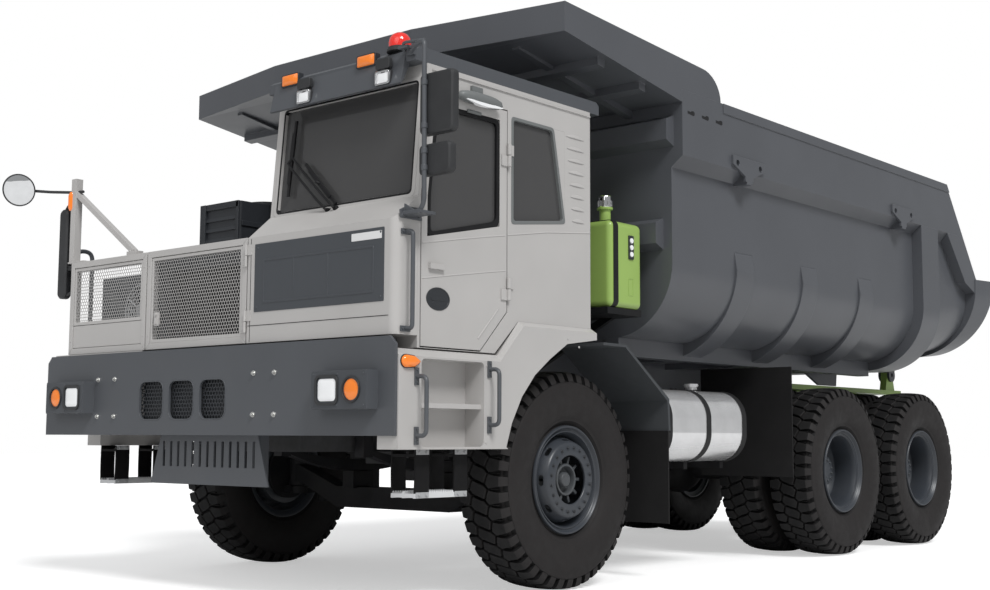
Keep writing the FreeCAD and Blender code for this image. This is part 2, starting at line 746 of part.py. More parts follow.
def under_guard():
    """Slotted plate hanging under the bumper between the frame rails."""
    x1 = bumper_face_x - guard_setback
    plate = prism_x([(-guard_top_half, bumper_bottom), (guard_top_half, bumper_bottom),
                     (guard_bottom_half, guard_bottom), (-guard_bottom_half, guard_bottom)],
                    x1 - guard_plate, x1)
    step = 2 * (guard_top_half - 40) / (guard_slot_count - 1)
    slots = []
    for i in range(guard_slot_count):
        y = -guard_top_half + 40 + i * step
        slots.append(box(x1 - guard_plate - 1, x1 + 1, y - guard_slot_width / 2.0, y + guard_slot_width / 2.0,
                         guard_slot_bottom, bumper_bottom - 40))
    stays = [box(x1 - 160, x1 - guard_plate, s * 430 - 8, s * 430 + 8, guard_bottom + 40, bumper_bottom)
             for s in (1, -1)]
    return fused([plate.cut(Part.makeCompound(slots))] + stays)


# ================================================================ tipping body
def u_outline(half_width, floor_z, radius, top_z, x):
    """U-shaped wire: two upright sides joined by round corners and a flat floor, closed across the top."""
    y = half_width
    r = radius
    corner = r * (1 - math.sqrt(0.5))
    points = [V(x, -y, top_z), V(x, -y, floor_z + r), V(x, -y + r, floor_z), V(x, y - r, floor_z),
              V(x, y, floor_z + r), V(x, y, top_z)]
    edges = [
        Part.makeLine(points[0], points[1]),
        Part.Arc(points[1], V(x, -y + corner, floor_z + corner), points[2]).toShape(),
        Part.makeLine(points[2], points[3]),
        Part.Arc(points[3], V(x, y - corner, floor_z + corner), points[4]).toShape(),
        Part.makeLine(points[4], points[5]),
        Part.makeLine(points[5], points[0]),
    ]
    return Part.Face(Part.Wire(edges))


def tail_cutter(foot_x):
    """Everything behind the tail: sloped from the rim down to the knee, upright below it at foot_x."""
    far = tail_x - 2000
    climb = body_rim_z + 3000
    slope = (tail_top_x - tail_foot_x) / (body_rim_z - tail_knee_z)
    return prism_y([(tail_top_x + slope * 3000, climb), (tail_foot_x, tail_knee_z), (foot_x, tail_knee_z),
                    (foot_x, 0), (far, 0), (far, climb)], -3000, 3000)


def u_shell(half_width, floor_z, radius, wall, x_front, x_rear):
    """U channel along the body, then a tail stretch whose floor rises to the rear."""
    high = body_rim_z + 2000
    outer = u_outline(half_width, floor_z, radius, high, x_front)
    inner = u_outline(half_width - wall, floor_z + wall, radius - wall, high, x_front)
    run = V(x_rear - x_front, 0, 0)
    straight = outer.extrude(run).cut(inner.extrude(run))
    outer_tail = u_outline(half_width, floor_z, radius, high, x_rear)
    inner_tail = u_outline(half_width - wall, floor_z + wall, radius - wall, high, x_rear)
    length = x_rear - tail_x + 50
    climb = V(-length, 0, length * tail_rise_slope)
    tail = outer_tail.extrude(climb).cut(inner_tail.extrude(climb))
    lid = box(tail_x - 3000, x_front + 100, -3000, 3000, body_rim_z, body_rim_z + 6000)
    return straight.fuse(tail).cut(lid).cut(tail_cutter(tail_foot_x)).removeSplitter()


def wall_ribs():
    """Two box ribs across the front wall, sloped on top and underneath."""
    ribs = []
    for low, half in zip(wall_rib_bottoms, (body_half_width - 80, body_half_width + 20)):
        x0, x1 = body_front_x, body_front_x + wall_rib_depth
        high = low + wall_rib_height
        ribs.append(prism_y([(x0 - 1, low), (x1, low + wall_rib_slope), (x1, high - wall_rib_slope),
                             (x0 - 1, high)],
                            -half, half))
    return ribs


def dump_body():
    """Shell, ribbed front wall and box-section top rails, welded into one piece."""
    shell = u_shell(body_half_width, body_floor_z, body_corner_radius, body_wall, body_front_x,
                    body_straight_end_x)
    front = u_outline(body_half_width, body_floor_z, body_corner_radius, body_rim_z, body_front_x)
    wall = front.extrude(V(-body_wall, 0, 0))
    rails = []
    for side in (1, -1):
        section = [(side * (body_half_width - 2), body_rim_z), (side * rail_half_width, body_rim_z),
                   (side * rail_half_width, rail_face_bottom_z),
                   (side * (body_half_width - 2), rail_chamfer_z)]
        rails.append(prism_x(section, tail_x, body_front_x).cut(tail_cutter(tail_foot_x)))
        cap0, cap1 = sorted((side * (body_half_width - body_wall - 20),
                             side * (rail_half_width + rim_cap_proud)))
        cap = box(rim_cap_rear_x, rim_cap_front_x, cap0, cap1, body_rim_z - rim_cap_height, body_rim_z)
        rails.append(cap.cut(tail_cutter(tail_foot_x)))
        for x in lifting_eye_x:
            rails.append(lifting_eye(side, x))
    return fused([shell, wall] + rails + wall_ribs())


lifting_eye_x = [front_axle_x - 1895.0, front_axle_x - 4795.0]
lifting_eye_half = 245.0
lifting_eye_low = 3030.0
lifting_eye_high = 3236.0


def lifting_eye(side, x):
    """Flat bracket with two slinging holes and a stem, on the outside of the top rail."""
    y0, y1 = sorted((side * (rail_half_width - 1), side * (rail_half_width + 22)))
    low, high, half = lifting_eye_low, lifting_eye_high, lifting_eye_half
    plate = prism_y([(x - half, high - 70), (x - half, high), (x + half, high), (x + half, high - 70),
                     (x + 60, low + 60), (x + 60, low + 20), (x - 60, low + 20), (x - 60, low + 60)], y0, y1)
    inner0, inner1 = sorted((side * (body_half_width - 1), side * (rail_half_width + 22)))
    stem = box(x - 40, x + 40, inner0, inner1, low, rail_face_bottom_z + 10)
    holes = [rod(V(x + s * (half - 70), y0 - 5, high - 55), V(x + s * (half - 70), y1 + 5, high - 55), 26)
             for s in (1, -1)]
    solid = plate.fuse(stem)
    rail_side0, rail_side1 = sorted((side * (rail_half_width - 0.5), side * (rail_half_width + 100)))
    clear = Part.makeCompound(holes).common(box(x - 400, x + 400, rail_side0, rail_side1, 2900, 3400))
    return solid.cut(clear)


def hoop_ring(half_width, bottom_z, radius, x_front, width, top_z):
    """U-shaped band outside the shell."""
    outer = u_outline(half_width, bottom_z, radius, top_z, x_front).extrude(V(-width, 0, 0))
    return outer


def shell_void():
    """Solid of the space inside the body's outer skin, used to trim the bands to the skin."""
    outer = u_outline(body_half_width, body_floor_z, body_corner_radius, body_rim_z + 2000,
                      body_front_x + 200)
    run = outer.extrude(V(body_straight_end_x - body_front_x - 200, 0, 0))
    tail = u_outline(body_half_width, body_floor_z, body_corner_radius, body_rim_z + 2000,
                     body_straight_end_x)
    length = body_straight_end_x - tail_x + 200
    return run.fuse(tail.extrude(V(-length, 0, length * tail_rise_slope)))


def body_hoops():
    """Three crescent hoops, tapered out at their tips, with the sills, runners and rest plates they carry."""
    inside = shell_void()
    hoops = []
    for i in range(hoop_count):
        x = hoop_first_x - i * hoop_pitch
        band = hoop_ring(hoop_half_width, hoop_bottom_z, hoop_corner_radius, x, hoop_width, hoop_tip_z)
        for side in (1, -1):
            band = band.cut(prism_x([(side * body_half_width, hoop_tip_z),
                                     (side * (hoop_half_width + 1), hoop_taper_z),
                                     (side * (hoop_half_width + 40), hoop_taper_z),
                                     (side * (hoop_half_width + 40), hoop_tip_z + 50),
                                     (side * body_half_width, hoop_tip_z + 50)],
                                    x - hoop_width - 1, x + 1))
        hoops.append(band.cut(inside))
    rear = body_straight_end_x
    carried = []
    for side in (1, -1):
        y0, y1 = sorted((side * (sill_outer_y - sill_width), side * sill_outer_y))
        sill = box(rear, body_front_x, y0, y1, hoop_bottom_z, body_floor_z + 60)
        y0, y1 = sorted((side * (runner_y - runner_width / 2.0), side * (runner_y + runner_width / 2.0)))
        runner = box(rear, body_front_x, y0, y1, rail_top + runner_gap, body_floor_z + 40)
        low = subframe_top_z + moving_gap
        plate = prism_y([(rest_plate_front_x, body_floor_z + 5), (rest_plate_front_x, hoop_bottom_z + 20),
                         (rest_plate_front_x - 280, low), (rear + 20, low), (rear, low + 140),
                         (rear, body_floor_z + 5)],
                        side * body_lug_y - rest_plate_width / 2.0,
                        side * body_lug_y + rest_plate_width / 2.0)
        carried += [sill.cut(inside), runner.cut(inside), plate.cut(inside)]
    return hoops + [piece.cut(Part.makeCompound(hoops)) for piece in carried]


def tail_lip():
    """Flared lip round the tail, bevelled on its inner rear edge, with the sloped strips above it."""
    inside = shell_void()
    front_x = tail_x + lip_width
    outer_front = u_outline(lip_front_half, lip_front_z, lip_corner_radius, body_rim_z, front_x).OuterWire
    outer_rear = u_outline(lip_rear_half, lip_rear_z, lip_corner_radius, body_rim_z, tail_x).OuterWire
    lip = Part.makeLoft([outer_front, outer_rear], True, True).cut(inside)
    rise = (body_straight_end_x - tail_foot_x) * tail_rise_slope
    bevel_front = u_outline(body_half_width - body_wall, body_floor_z + body_wall + rise, body_corner_radius,
                            body_rim_z + 50, tail_foot_x).OuterWire
    bevel_rear = u_outline(lip_rear_half + 20, lip_rear_z - 5, body_corner_radius, body_rim_z + 50,
                           tail_x - 20).OuterWire
    lip = lip.cut(Part.makeLoft([bevel_front, bevel_rear], True, True))
    lip = lip.cut(box(tail_x - 100, front_x + 100, -3000, 3000, lip_top_z, lip_top_z + 3000))
    strips = []
    slope = (tail_top_x - tail_foot_x) / (body_rim_z - tail_knee_z)
    for side in (1, -1):
        y0, y1 = sorted((side * (body_half_width - 1), side * rail_half_width))
        high = rail_face_bottom_z + 40
        low = lip_top_z - 55
        high_x = tail_top_x - slope * (body_rim_z - high)
        low_x = tail_top_x - slope * (body_rim_z - low)
        strip = prism_y([(high_x, high), (high_x + tail_strip_width, high),
                         (low_x + tail_strip_width - 70, low),
                         (front_x - 5, low - 90), (low_x, low - 90), (low_x, low)], y0, y1)
        strips.append(strip.cut(inside).cut(tail_cutter(tail_foot_x)))
    return fused([lip] + strips).cut(tail_rail_space())


def tail_frame():
    """Upright rear posts with their band under the floor, and the flared lip at the tail."""
    post = hoop_ring(rail_half_width, post_bottom_z, post_corner_radius, body_straight_end_x, post_width,
                     rail_face_bottom_z + 60).cut(shell_void())
    return [post.cut(tail_rail_space()), tail_lip()]


def tail_rail_space():
    """Room taken by the body's top rails."""
    spaces = []
    for side in (1, -1):
        section = [(side * (body_half_width - 2), body_rim_z + 10),
                   (side * (rail_half_width + 20), body_rim_z + 10),
                   (side * (rail_half_width + 20), rail_face_bottom_z),
                   (side * rail_half_width, rail_face_bottom_z),
                   (side * (body_half_width - 2), rail_chamfer_z)]
        spaces.append(prism_x(section, tail_x - 100, body_front_x))
    return Part.makeCompound(spaces)


canopy_rib_y = [-1500.0, -900.0, -300.0, 300.0, 900.0, 1500.0]
canopy_rib_depth = 55.0
canopy_rib_width = 60.0
canopy_cross_x = [front_axle_x - 560.0, front_axle_x - 60.0]


def canopy():
    """Guard over the cab: ribbed sloping floor, pointed front fascia and two side wings."""
    def bottom_at(x):
        t = (x - body_front_x) / (canopy_tip_x - body_front_x)
        return canopy_bottom_rear_z + t * (canopy_bottom_front_z - canopy_bottom_rear_z)
    p = canopy_plate
    w = rail_half_width
    plan = [(body_front_x, -w), (canopy_tip_x, -w), (canopy_nose_x, -canopy_nose_half),
            (canopy_nose_x, canopy_nose_half), (canopy_tip_x, w), (body_front_x, w)]
    inner = [(body_front_x - 10, -w + p), (canopy_tip_x - p, -w + p), (canopy_nose_x - p, -canopy_nose_half),
             (canopy_nose_x - p, canopy_nose_half), (canopy_tip_x - p, w - p), (body_front_x - 10, w - p)]
    column = prism_z(plan, 3300, 4100)
    hollow = prism_z(inner, 3300, 4100)
    top_slope = (canopy_top_front_z - canopy_top_rear_z) / (canopy_tip_x - canopy_wing_rear_x)
    nose_top = canopy_top_front_z
    foot_z = bottom_at(canopy_tip_x)
    far = canopy_nose_x + 1
    side_view = [(body_front_x, bottom_at(body_front_x)), (canopy_tip_x, foot_z), (far, foot_z),
                 (far, nose_top),
                 (canopy_tip_x, nose_top),
                 (body_front_x, canopy_top_front_z - top_slope * (canopy_tip_x - body_front_x))]
    space = prism_y(side_view, -3000, 3000)
    floor = prism_y([(body_front_x, bottom_at(body_front_x)), (canopy_tip_x, foot_z), (far, foot_z),
                     (far, foot_z + p), (canopy_tip_x, foot_z + p),
                     (body_front_x, bottom_at(body_front_x) + p)],
                    -3000, 3000)
    walls = column.cut(hollow).common(space)
    base = column.common(floor)
    d = canopy_rib_depth
    ribs = []
    rib_end = canopy_tip_x - 60
    for y in canopy_rib_y:
        ribs.append(prism_y([(body_front_x, bottom_at(body_front_x) - d), (rib_end, bottom_at(rib_end) - 15),
                             (rib_end, bottom_at(rib_end) + 5), (body_front_x, bottom_at(body_front_x) + 5)],
                            y - canopy_rib_width / 2.0, y + canopy_rib_width / 2.0))
    for x in canopy_cross_x:
        ribs.append(prism_y([(x, bottom_at(x) - d), (x + 80, bottom_at(x + 80) - d),
                             (x + 80, bottom_at(x + 80) + 5),
                             (x, bottom_at(x) + 5)], -w + 60, w - 60))
    wing_front = canopy_top_front_z - top_slope * (canopy_tip_x - body_front_x)
    wing = [(body_front_x, body_rim_z), (body_front_x, wing_front)]
    steps = 8
    for i in range(steps + 1):
        a = math.pi / 2 * i / steps
        wing.append((canopy_wing_rear_x - (canopy_wing_rear_x - canopy_wing_foot_x) * math.sin(a),
                     body_rim_z + (canopy_top_rear_z - body_rim_z) * math.cos(a)))
    wings = [prism_y(wing, s * w - (p if s > 0 else 0), s * w + (0 if s > 0 else p)) for s in (1, -1)]
    return fused([walls, base] + wings + ribs)


hinge_bearing_half = body_bearing_width / 2.0
hinge_lug_y0 = hinge_bearing_half + hinge_side_gap
hinge_lug_y1 = hinge_lug_y0 + body_lug_wall


def body_hinge():
    """Two pairs of ring lugs under the body's tail floor, each carrying its hollow pin."""
    pairs = []
    for side in (1, -1):
        middle = side * body_lug_y
        pieces = []
        for offset in (-1, 1):
            y0, y1 = sorted((middle + offset * hinge_lug_y0, middle + offset * hinge_lug_y1))
            web = prism_y([(body_hinge_x - 60, body_hinge_z), (body_hinge_x + 60, body_hinge_z),
                           (body_hinge_x + 170, body_floor_z + 190),
                           (body_hinge_x - 120, body_floor_z + 230)],
                          y0, y1)
            pieces += [web, rod(V(body_hinge_x, y0, body_hinge_z), V(body_hinge_x, y1, body_hinge_z),
                                body_eye_radius)]
        pieces.append(rod(V(body_hinge_x, middle - hinge_lug_y1, body_hinge_z),
                          V(body_hinge_x, middle + hinge_lug_y1, body_hinge_z), body_pin_radius))
        bore = rod(V(body_hinge_x, middle - 200, body_hinge_z), V(body_hinge_x, middle + 200, body_hinge_z),
                   body_pin_radius - 13)
        pairs.append(fused(pieces).cut(bore).cut(shell_void()))
    return pairs


subframe_top_z = 1555.0
subframe_bar_depth = 48.0
subframe_bar_width = 100.0
subframe_side_y = 496.0     # inner face of the side bars, outside the body's runners
subframe_side_width = 80.0
subframe_front_x = front_axle_x - 4180.0
subframe_ties_x = [subframe_front_x - 90.0, (rear_axle_1_x + rear_axle_2_x) / 2.0, body_hinge_x]


def rear_subframe():
    """Green rear frame: side bars on the rails, outriggers over the wheels and the bored pivot blocks."""
    pieces = []
    low = subframe_top_z - subframe_bar_depth
    hinge_half = body_bearing_width / 2.0
    for side in (1, -1):
        y0, y1 = sorted((side * subframe_side_y, side * (subframe_side_y + subframe_side_width)))
        pieces.append(box(rail_rear_x, subframe_front_x, y0, y1, rail_top - 160, subframe_top_z))
        p0, p1 = sorted((side * rail_outer_y, side * (subframe_side_y + 1)))
        pieces.append(box(rail_rear_x, subframe_front_x, p0, p1, rail_top - 160, rail_top - 10))
        y = side * body_lug_y
        pieces.append(box(rail_rear_x - 20, subframe_front_x, y - subframe_bar_width / 2.0,
                          y + subframe_bar_width / 2.0, low, subframe_top_z))
        for x in subframe_ties_x:
            t0, t1 = sorted((side * (subframe_side_y + 10), side * (body_lug_y + 30)))
            pieces.append(box(x - 45, x + 45, t0, t1, low, subframe_top_z - 1))
        block = prism_y([(body_hinge_x - 110, subframe_top_z - 1), (body_hinge_x + 110, subframe_top_z - 1),
                         (body_hinge_x + 64, body_hinge_z), (body_hinge_x - 64, body_hinge_z)],
                        y - hinge_half, y + hinge_half)
        eye = rod(V(body_hinge_x, y - hinge_half, body_hinge_z),
                  V(body_hinge_x, y + hinge_half, body_hinge_z),
                  body_eye_radius - 9)
        bore = rod(V(body_hinge_x, y - 200, body_hinge_z), V(body_hinge_x, y + 200, body_hinge_z),
                   body_pin_radius + rotating_clearance)
        pieces.append(block.fuse(eye).cut(bore))
    tie_z = rail_top + 90
    pieces.append(rod(V(body_hinge_x, -subframe_side_y - 20, tie_z),
                      V(body_hinge_x, subframe_side_y + 20, tie_z), 60))
    return fused(pieces)


# ================================================================ hoist
hoist_base = V(hoist_foot_x, 0, hoist_foot_z)
hoist_head = V(hoist_head_x, 0, hoist_head_z)
hoist_line = (hoist_head - hoist_base).normalize()
hoist_closed = (hoist_head - hoist_base).Length


def along_hoist(distance):
    return hoist_base + hoist_line * distance


def hoist_barrel():
    """Outer tube of the telescopic cylinder, with the cross trunnion at its foot."""
    bore = hoist_barrel_radius - hoist_stage_step + 3.0
    outer = rod(along_hoist(-70), along_hoist(hoist_closed - 300), hoist_barrel_radius)
    hole = rod(along_hoist(-40), along_hoist(hoist_closed), bore)
    trunnion = rod(hoist_base - V(0, rail_inner_y - 10, 0), hoist_base + V(0, rail_inner_y - 10, 0),
                   hoist_trunnion_radius)
    return fused([outer, trunnion]).cut(hole)


def hoist_stage(number):
    """One sliding stage; the last is a rod that carries the head eye."""
    radius = hoist_barrel_radius - number * hoist_stage_step
    top = hoist_closed - 300 + number * 40.0
    start = along_hoist(-30 + number * 8.0)
    if number < hoist_stage_count:
        return rod(start, along_hoist(top), radius).cut(
            rod(along_hoist(-30 + number * 8.0 + 6.0), along_hoist(top + 10),
                radius - hoist_stage_step + 3.0))
    shaft = rod(start, along_hoist(hoist_closed - hoist_eye_radius + 10), radius)
    eye = rod(hoist_head - V(0, 45, 0), hoist_head + V(0, 45, 0), hoist_eye_radius)
    pin_half = hoist_lug_gap - 15.0 - moving_gap
    pin = rod(hoist_head - V(0, pin_half, 0), hoist_head + V(0, pin_half, 0), hoist_trunnion_radius - 8)
    return fused([shaft, eye, pin])


def hoist_cradle():
    """Two bored trunnion blocks on the inner faces of the rails."""
    blocks = []
    bore = rod(hoist_base - V(0, rail_inner_y, 0), hoist_base + V(0, rail_inner_y, 0),
               hoist_trunnion_radius + rotating_clearance)
    for side in (1, -1):
        y0, y1 = sorted((side * (rail_inner_y - trunnion_block_width), side * rail_inner_y))
        block = box(hoist_foot_x - 90, hoist_foot_x + 90, y0, y1, hoist_foot_z - 90, rail_bottom + 160)
        blocks.append(block.cut(bore))
    return blocks


def hoist_bracket():
    """Pair of lugs on the body's front wall either side of the hoist's head, each with a pin boss outside."""
    lugs = []
    ribs = Part.makeCompound(wall_ribs())
    for side in (1, -1):
        y = side * hoist_lug_gap
        lug = prism_y([(body_front_x, hoist_head_z - 170), (hoist_head_x + 60, hoist_head_z - 70),
                       (hoist_head_x + 60, hoist_head_z + 70), (body_front_x, hoist_head_z + 170)], y - 15,
                      y + 15)
        boss = rod(V(hoist_head_x, y, hoist_head_z),
                   V(hoist_head_x, side * (hoist_lug_gap + 45), hoist_head_z), 58)
        lugs.append(fused([lug, boss]).cut(ribs))
    return lugs


# ================================================================ cab
def cab_side_outline(inset):
    """Side view of the cab: bulkhead, raked windscreen line, roof line and back."""
    i = inset
    return [(cab_rear_x + i, cab_floor_z + i), (windscreen_foot_x - i, cab_floor_z + i),
            (windscreen_foot_x - i, windscreen_foot_z), (cab_roof_front_x - i, cab_roof_z - i),
            (cab_rear_x + i, cab_roof_z - i)]


def wheel_well(inset):
    """Room for the front wheel and its fender, taken out of the cab's rear left corner."""
    i = inset
    return prism_y([(cab_rear_x - 1, 0), (cab_rear_x - 1, well_top_z + i),
                    (well_flat_x + i * 0.4, well_top_z + i),
                    (well_front_x + i, cab_floor_z + i * 0.6), (well_front_x + i, 0)],
                   well_inner_y - i, cab_left_y + 1)


def door_outline(inset):
    """Door seen from the side, raked at the front, its lower rear corner cut off over the wheel arch."""
    i = inset
    return [(door_front_x - i, door_bottom_z + i), (door_front_x - i, windscreen_foot_z),
            (door_top_front_x - i, door_top_z - i), (door_rear_x + i, door_top_z - i),
            (door_rear_x + i, door_notch_z + i * 0.6), (door_notch_x + i * 0.6, door_bottom_z + i)]


windscreen_margin_y = 70.0
windscreen_low_z = 2502.0
windscreen_high_z = 3190.0
side_window_x0 = front_axle_x + 240.0
side_window_x1 = front_axle_x + 800.0
side_window_z0 = 2440.0
side_window_z1 = 3110.0


def windscreen_hole():
    half = (cab_left_y - cab_right_y) / 2.0 - windscreen_margin_y
    y = (cab_left_y + cab_right_y) / 2.0
    return box(windscreen_foot_x - 300, windscreen_foot_x + 50, y - half, y + half, windscreen_low_z,
               windscreen_high_z)


def side_window_outline(inset):
    i = inset
    return [(side_window_x1 - i, side_window_z0 - 30 + i), (side_window_x1 - i, side_window_z1 - i),
            (side_window_x0 + i, side_window_z1 - i), (side_window_x0 + i, side_window_z0 + 40 + i)]


rear_window_half = 400.0
rear_window_z0 = 2500.0
rear_window_z1 = 3050.0


def rear_window_hole(inset):
    y = (cab_left_y + cab_right_y) / 2.0
    half = rear_window_half - inset
    return box(cab_rear_x - 50, cab_rear_x + cab_wall + 50, y - half, y + half, rear_window_z0 + inset,
               rear_window_z1 - inset)


def hinge_knuckle(x, y, z, reach_x, face_y):
    """One knuckle of a hinge: a round barrel on the hinge line and the leaf that holds it to a face."""
    x0, x1 = sorted((x, reach_x))
    y0, y1 = sorted((face_y, y - math.copysign(hinge_radius - 8, y - face_y)))
    leaf = box(x0, x1, y0, y1, z, z + hinge_length)
    neck0, neck1 = sorted((face_y, y))
    neck = box(x - 5, x + 5, neck0, neck1, z, z + hinge_length)
    return fused([rod(V(x, y, z), V(x, y, z + hinge_length), hinge_radius), leaf, neck])


def cab_shell():
    """Hollow cab: floor with the wheel well, bulkhead, pillars, roof and back, cut for windows and door."""
    outer = prism_y(cab_side_outline(0), cab_right_y, cab_left_y).cut(wheel_well(0))
    inner = prism_y(cab_side_outline(cab_wall), cab_right_y + cab_wall, cab_left_y - cab_wall)
    shell = outer.cut(inner.cut(wheel_well(cab_wall)))
    cuts = [windscreen_hole(), rear_window_hole(0),
            prism_y(side_window_outline(0), cab_right_y - 50, cab_left_y + 50),
            prism_y(door_outline(-moving_gap), cab_left_y - cab_wall - 1, cab_left_y + 1)]
    shell = shell.cut(Part.makeCompound(cuts))
    knuckles = [hinge_knuckle(door_rear_x - 6, cab_left_y + hinge_offset, z + hinge_pitch, door_rear_x - 60,
                              cab_left_y) for z in door_hinge_z]
    return fused([shell] + knuckles)


def cab_nose():
    """Front cowl of the cab ahead of the bulkhead, over the bumper: front wall, sides, floor and sloped top."""
    def profile(i):
        return [(windscreen_foot_x, nose_bottom_z + i), (cab_front_x - i, nose_bottom_z + i),
                (cab_front_x - i, nose_top_z - i), (windscreen_foot_x, windscreen_foot_z - 4 - i)]
    outer = prism_y(profile(0), cab_right_y, cab_left_y)
    corner = [e for e in outer.Edges if abs(e.Vertexes[0].X - cab_front_x) < 1 and abs(e.Vertexes[1].X - cab_front_x) < 1
              and abs(e.Vertexes[0].Y - cab_left_y) < 1 and abs(e.Vertexes[1].Y - cab_left_y) < 1]
    outer = outer.makeFillet(nose_corner, corner)
    inner = prism_y(profile(nose_wall), cab_right_y + nose_wall, cab_left_y - nose_wall)
    post_y = inner_panel_y1 + 6
    knuckles = []
    for z in panel_hinge_z:
        x = cab_front_x + 12
        barrel = rod(V(x, post_y, z + hinge_pitch), V(x, post_y, z + hinge_pitch + hinge_length),
                     panel_hinge_radius)
        leaf = box(cab_front_x - 1, cab_front_x + 6, post_y, cab_right_y + 40, z + hinge_pitch,
                   z + hinge_pitch + hinge_length)
        knuckles.append(fused([barrel, leaf]))
    return fused([outer.cut(inner)] + knuckles)


def cab_door():
    """Left door with its window cut, hinged at its rear edge."""
    leaf = prism_y(door_outline(0), cab_left_y - cab_wall, cab_left_y)
    leaf = leaf.cut(prism_y(door_window_outline(0), cab_left_y - 200, cab_left_y + 50))
    knuckles = [hinge_knuckle(door_rear_x - 6, cab_left_y + hinge_offset, z, door_rear_x + 60, cab_left_y)
                for z in door_hinge_z]
    handle = box(door_front_x - 190, door_front_x - 60, cab_left_y - 1, cab_left_y + 22, 2040, 2075)
    return fused([leaf, handle] + knuckles)


door_hinge_z = [1905.0, 2775.0]
door_window_front = 50.0
door_window_z0 = 2235.0
door_window_z1 = 3070.0


def door_window_outline(inset):
    i = inset
    front = door_window_front
    top_front = door_top_front_x + 8 - front
    return [(door_front_x - front - i, door_window_z0 + i), (door_front_x - front - i, windscreen_foot_z),
            (top_front - i, door_window_z1 - i), (door_rear_x + 70 + i, door_window_z1 - i),
            (door_rear_x + 70 + i, door_window_z0 + 140 + i)]


def door_glass():
    y = cab_left_y - cab_wall / 2.0
    return prism_y(door_window_outline(0.5), y - glass_wall / 2.0, y + glass_wall / 2.0)


def cab_windows():
    """Windscreen, rear window and one fixed side window on each side."""
    x_low, x_high = windscreen_foot_x, cab_roof_front_x
    sheet_outline = [(x_low - 20, windscreen_foot_z), (x_low - 20 - glass_wall, windscreen_foot_z),
                     (x_high - 20 - glass_wall, cab_roof_z), (x_high - 20, cab_roof_z)]
    half = (cab_left_y - cab_right_y) / 2.0 - windscreen_margin_y - 0.5
    y = (cab_left_y + cab_right_y) / 2.0
    front = prism_y(sheet_outline, y - half, y + half).common(
        box(x_high - 400, x_low + 200, y - half, y + half, windscreen_low_z + 0.5, windscreen_high_z - 0.5))
    back = rear_window_hole(0.5).common(box(cab_rear_x + 20, cab_rear_x + 20 + glass_wall, 0, 3000, 0, 5000))
    sides = [prism_y(side_window_outline(0.5), yy, yy + glass_wall)
             for yy in (cab_left_y - cab_wall / 2.0 - 5, cab_right_y + cab_wall / 2.0 - 5)]
    return [front, back] + sides


def roof_visor():
    """Dark roof cap with its drip edge and the sloped sun visor over the windscreen."""
    low, high = cab_roof_z, cab_roof_z + roof_wall
    front = cab_roof_front_x + roof_front_overhang
    cap = prism_y([(cab_rear_x - roof_rear_overhang, low), (front, low), (front, high - 25),
                   (front - 40, high),
                   (cab_rear_x - roof_rear_overhang + 30, high),
                   (cab_rear_x - roof_rear_overhang, high - 25)],
                  cab_right_y, cab_left_y - 5)
    visor = prism_y([(front - 3, high - 30), (front + 45, low - 135), (front + 31, low - 140),
                     (front - 40, low),
                     (front - 40, low + 5), (front - 3, low + 5)], cab_right_y + 60, cab_left_y - 90)
    return fused([cap, visor])


seat_y = 1040.0


def seat():
    """Driver's seat: cushion, back and pedestal."""
    x = front_axle_x + 480
    low = cab_floor_z + cab_wall
    pedestal = box(x - 180, x + 180, seat_y - 180, seat_y + 180, low, low + 330)
    cushion = box(x - 250, x + 270, seat_y - 260, seat_y + 260, low + 330, low + 460)
    back = prism_y([(x - 230, low + 460), (x - 120, low + 460), (x - 220, low + 1150), (x - 330, low + 1150)],
                   seat_y - 250, seat_y + 250)
    return fused([pedestal, cushion, back])


def dashboard():
    """Dash block across the cab's front with the steering column and wheel."""
    low = cab_floor_z + cab_wall
    x1 = windscreen_foot_x - cab_wall
    top = windscreen_low_z - 110
    block = prism_y([(x1, low), (x1, top), (x1 - 250, top), (x1 - 330, top - 90), (x1 - 280, low + 350),
                     (x1 - 150, low)], cab_right_y + cab_wall, cab_left_y - cab_wall - 12)
    centre = V(x1 - 520, seat_y, low + 732)
    axis = V(-240, 0, 300)
    column = rod(V(x1 - 270, seat_y, low + 420), centre, 35)
    ring = Part.makeTorus(215, 15, centre, axis)
    bar = rod(centre - V(0, 215, 0), centre + V(0, 215, 0), 11)
    return fused([block, column, ring, bar])


# ================================================================ front panels, fenders, steps
panel_hinge_z = [1700.0, 2130.0]
panel_hinge_radius = 9.0


def panel(y0, y1, solid_height):
    """Framed panel with a thin mesh sheet, and an optional solid strip along its foot."""
    x1 = cab_front_x
    frame = box(x1 - panel_depth, x1, y0, y1, panel_bottom_z, panel_top_z)
    b = panel_border
    hole = box(x1 - panel_depth - 1, x1 + 1, y0 + b, y1 - b, panel_bottom_z + b + solid_height,
               panel_top_z - b)
    mesh = box(x1 - panel_depth / 2.0, x1 - panel_depth / 2.0 + mesh_wall, y0 + b, y1 - b,
               panel_bottom_z + b + solid_height, panel_top_z - b)
    return fused([frame.cut(hole), mesh])


def radiator_door():
    """Hinged mesh panel ahead of the radiator, its knuckles on its left edge."""
    line_y = inner_panel_y1 + 6
    x = cab_front_x + 12
    pieces = [panel(inner_panel_y0, inner_panel_y1, 0)]
    for z in panel_hinge_z:
        barrel = rod(V(x, line_y, z), V(x, line_y, z + hinge_length), panel_hinge_radius)
        leaf = box(cab_front_x - 1, cab_front_x + 6, inner_panel_y1 - 40, line_y, z, z + hinge_length)
        pieces.append(fused([barrel, leaf]))
    return fused(pieces)


deck_rise_x = front_axle_x + 1632.0


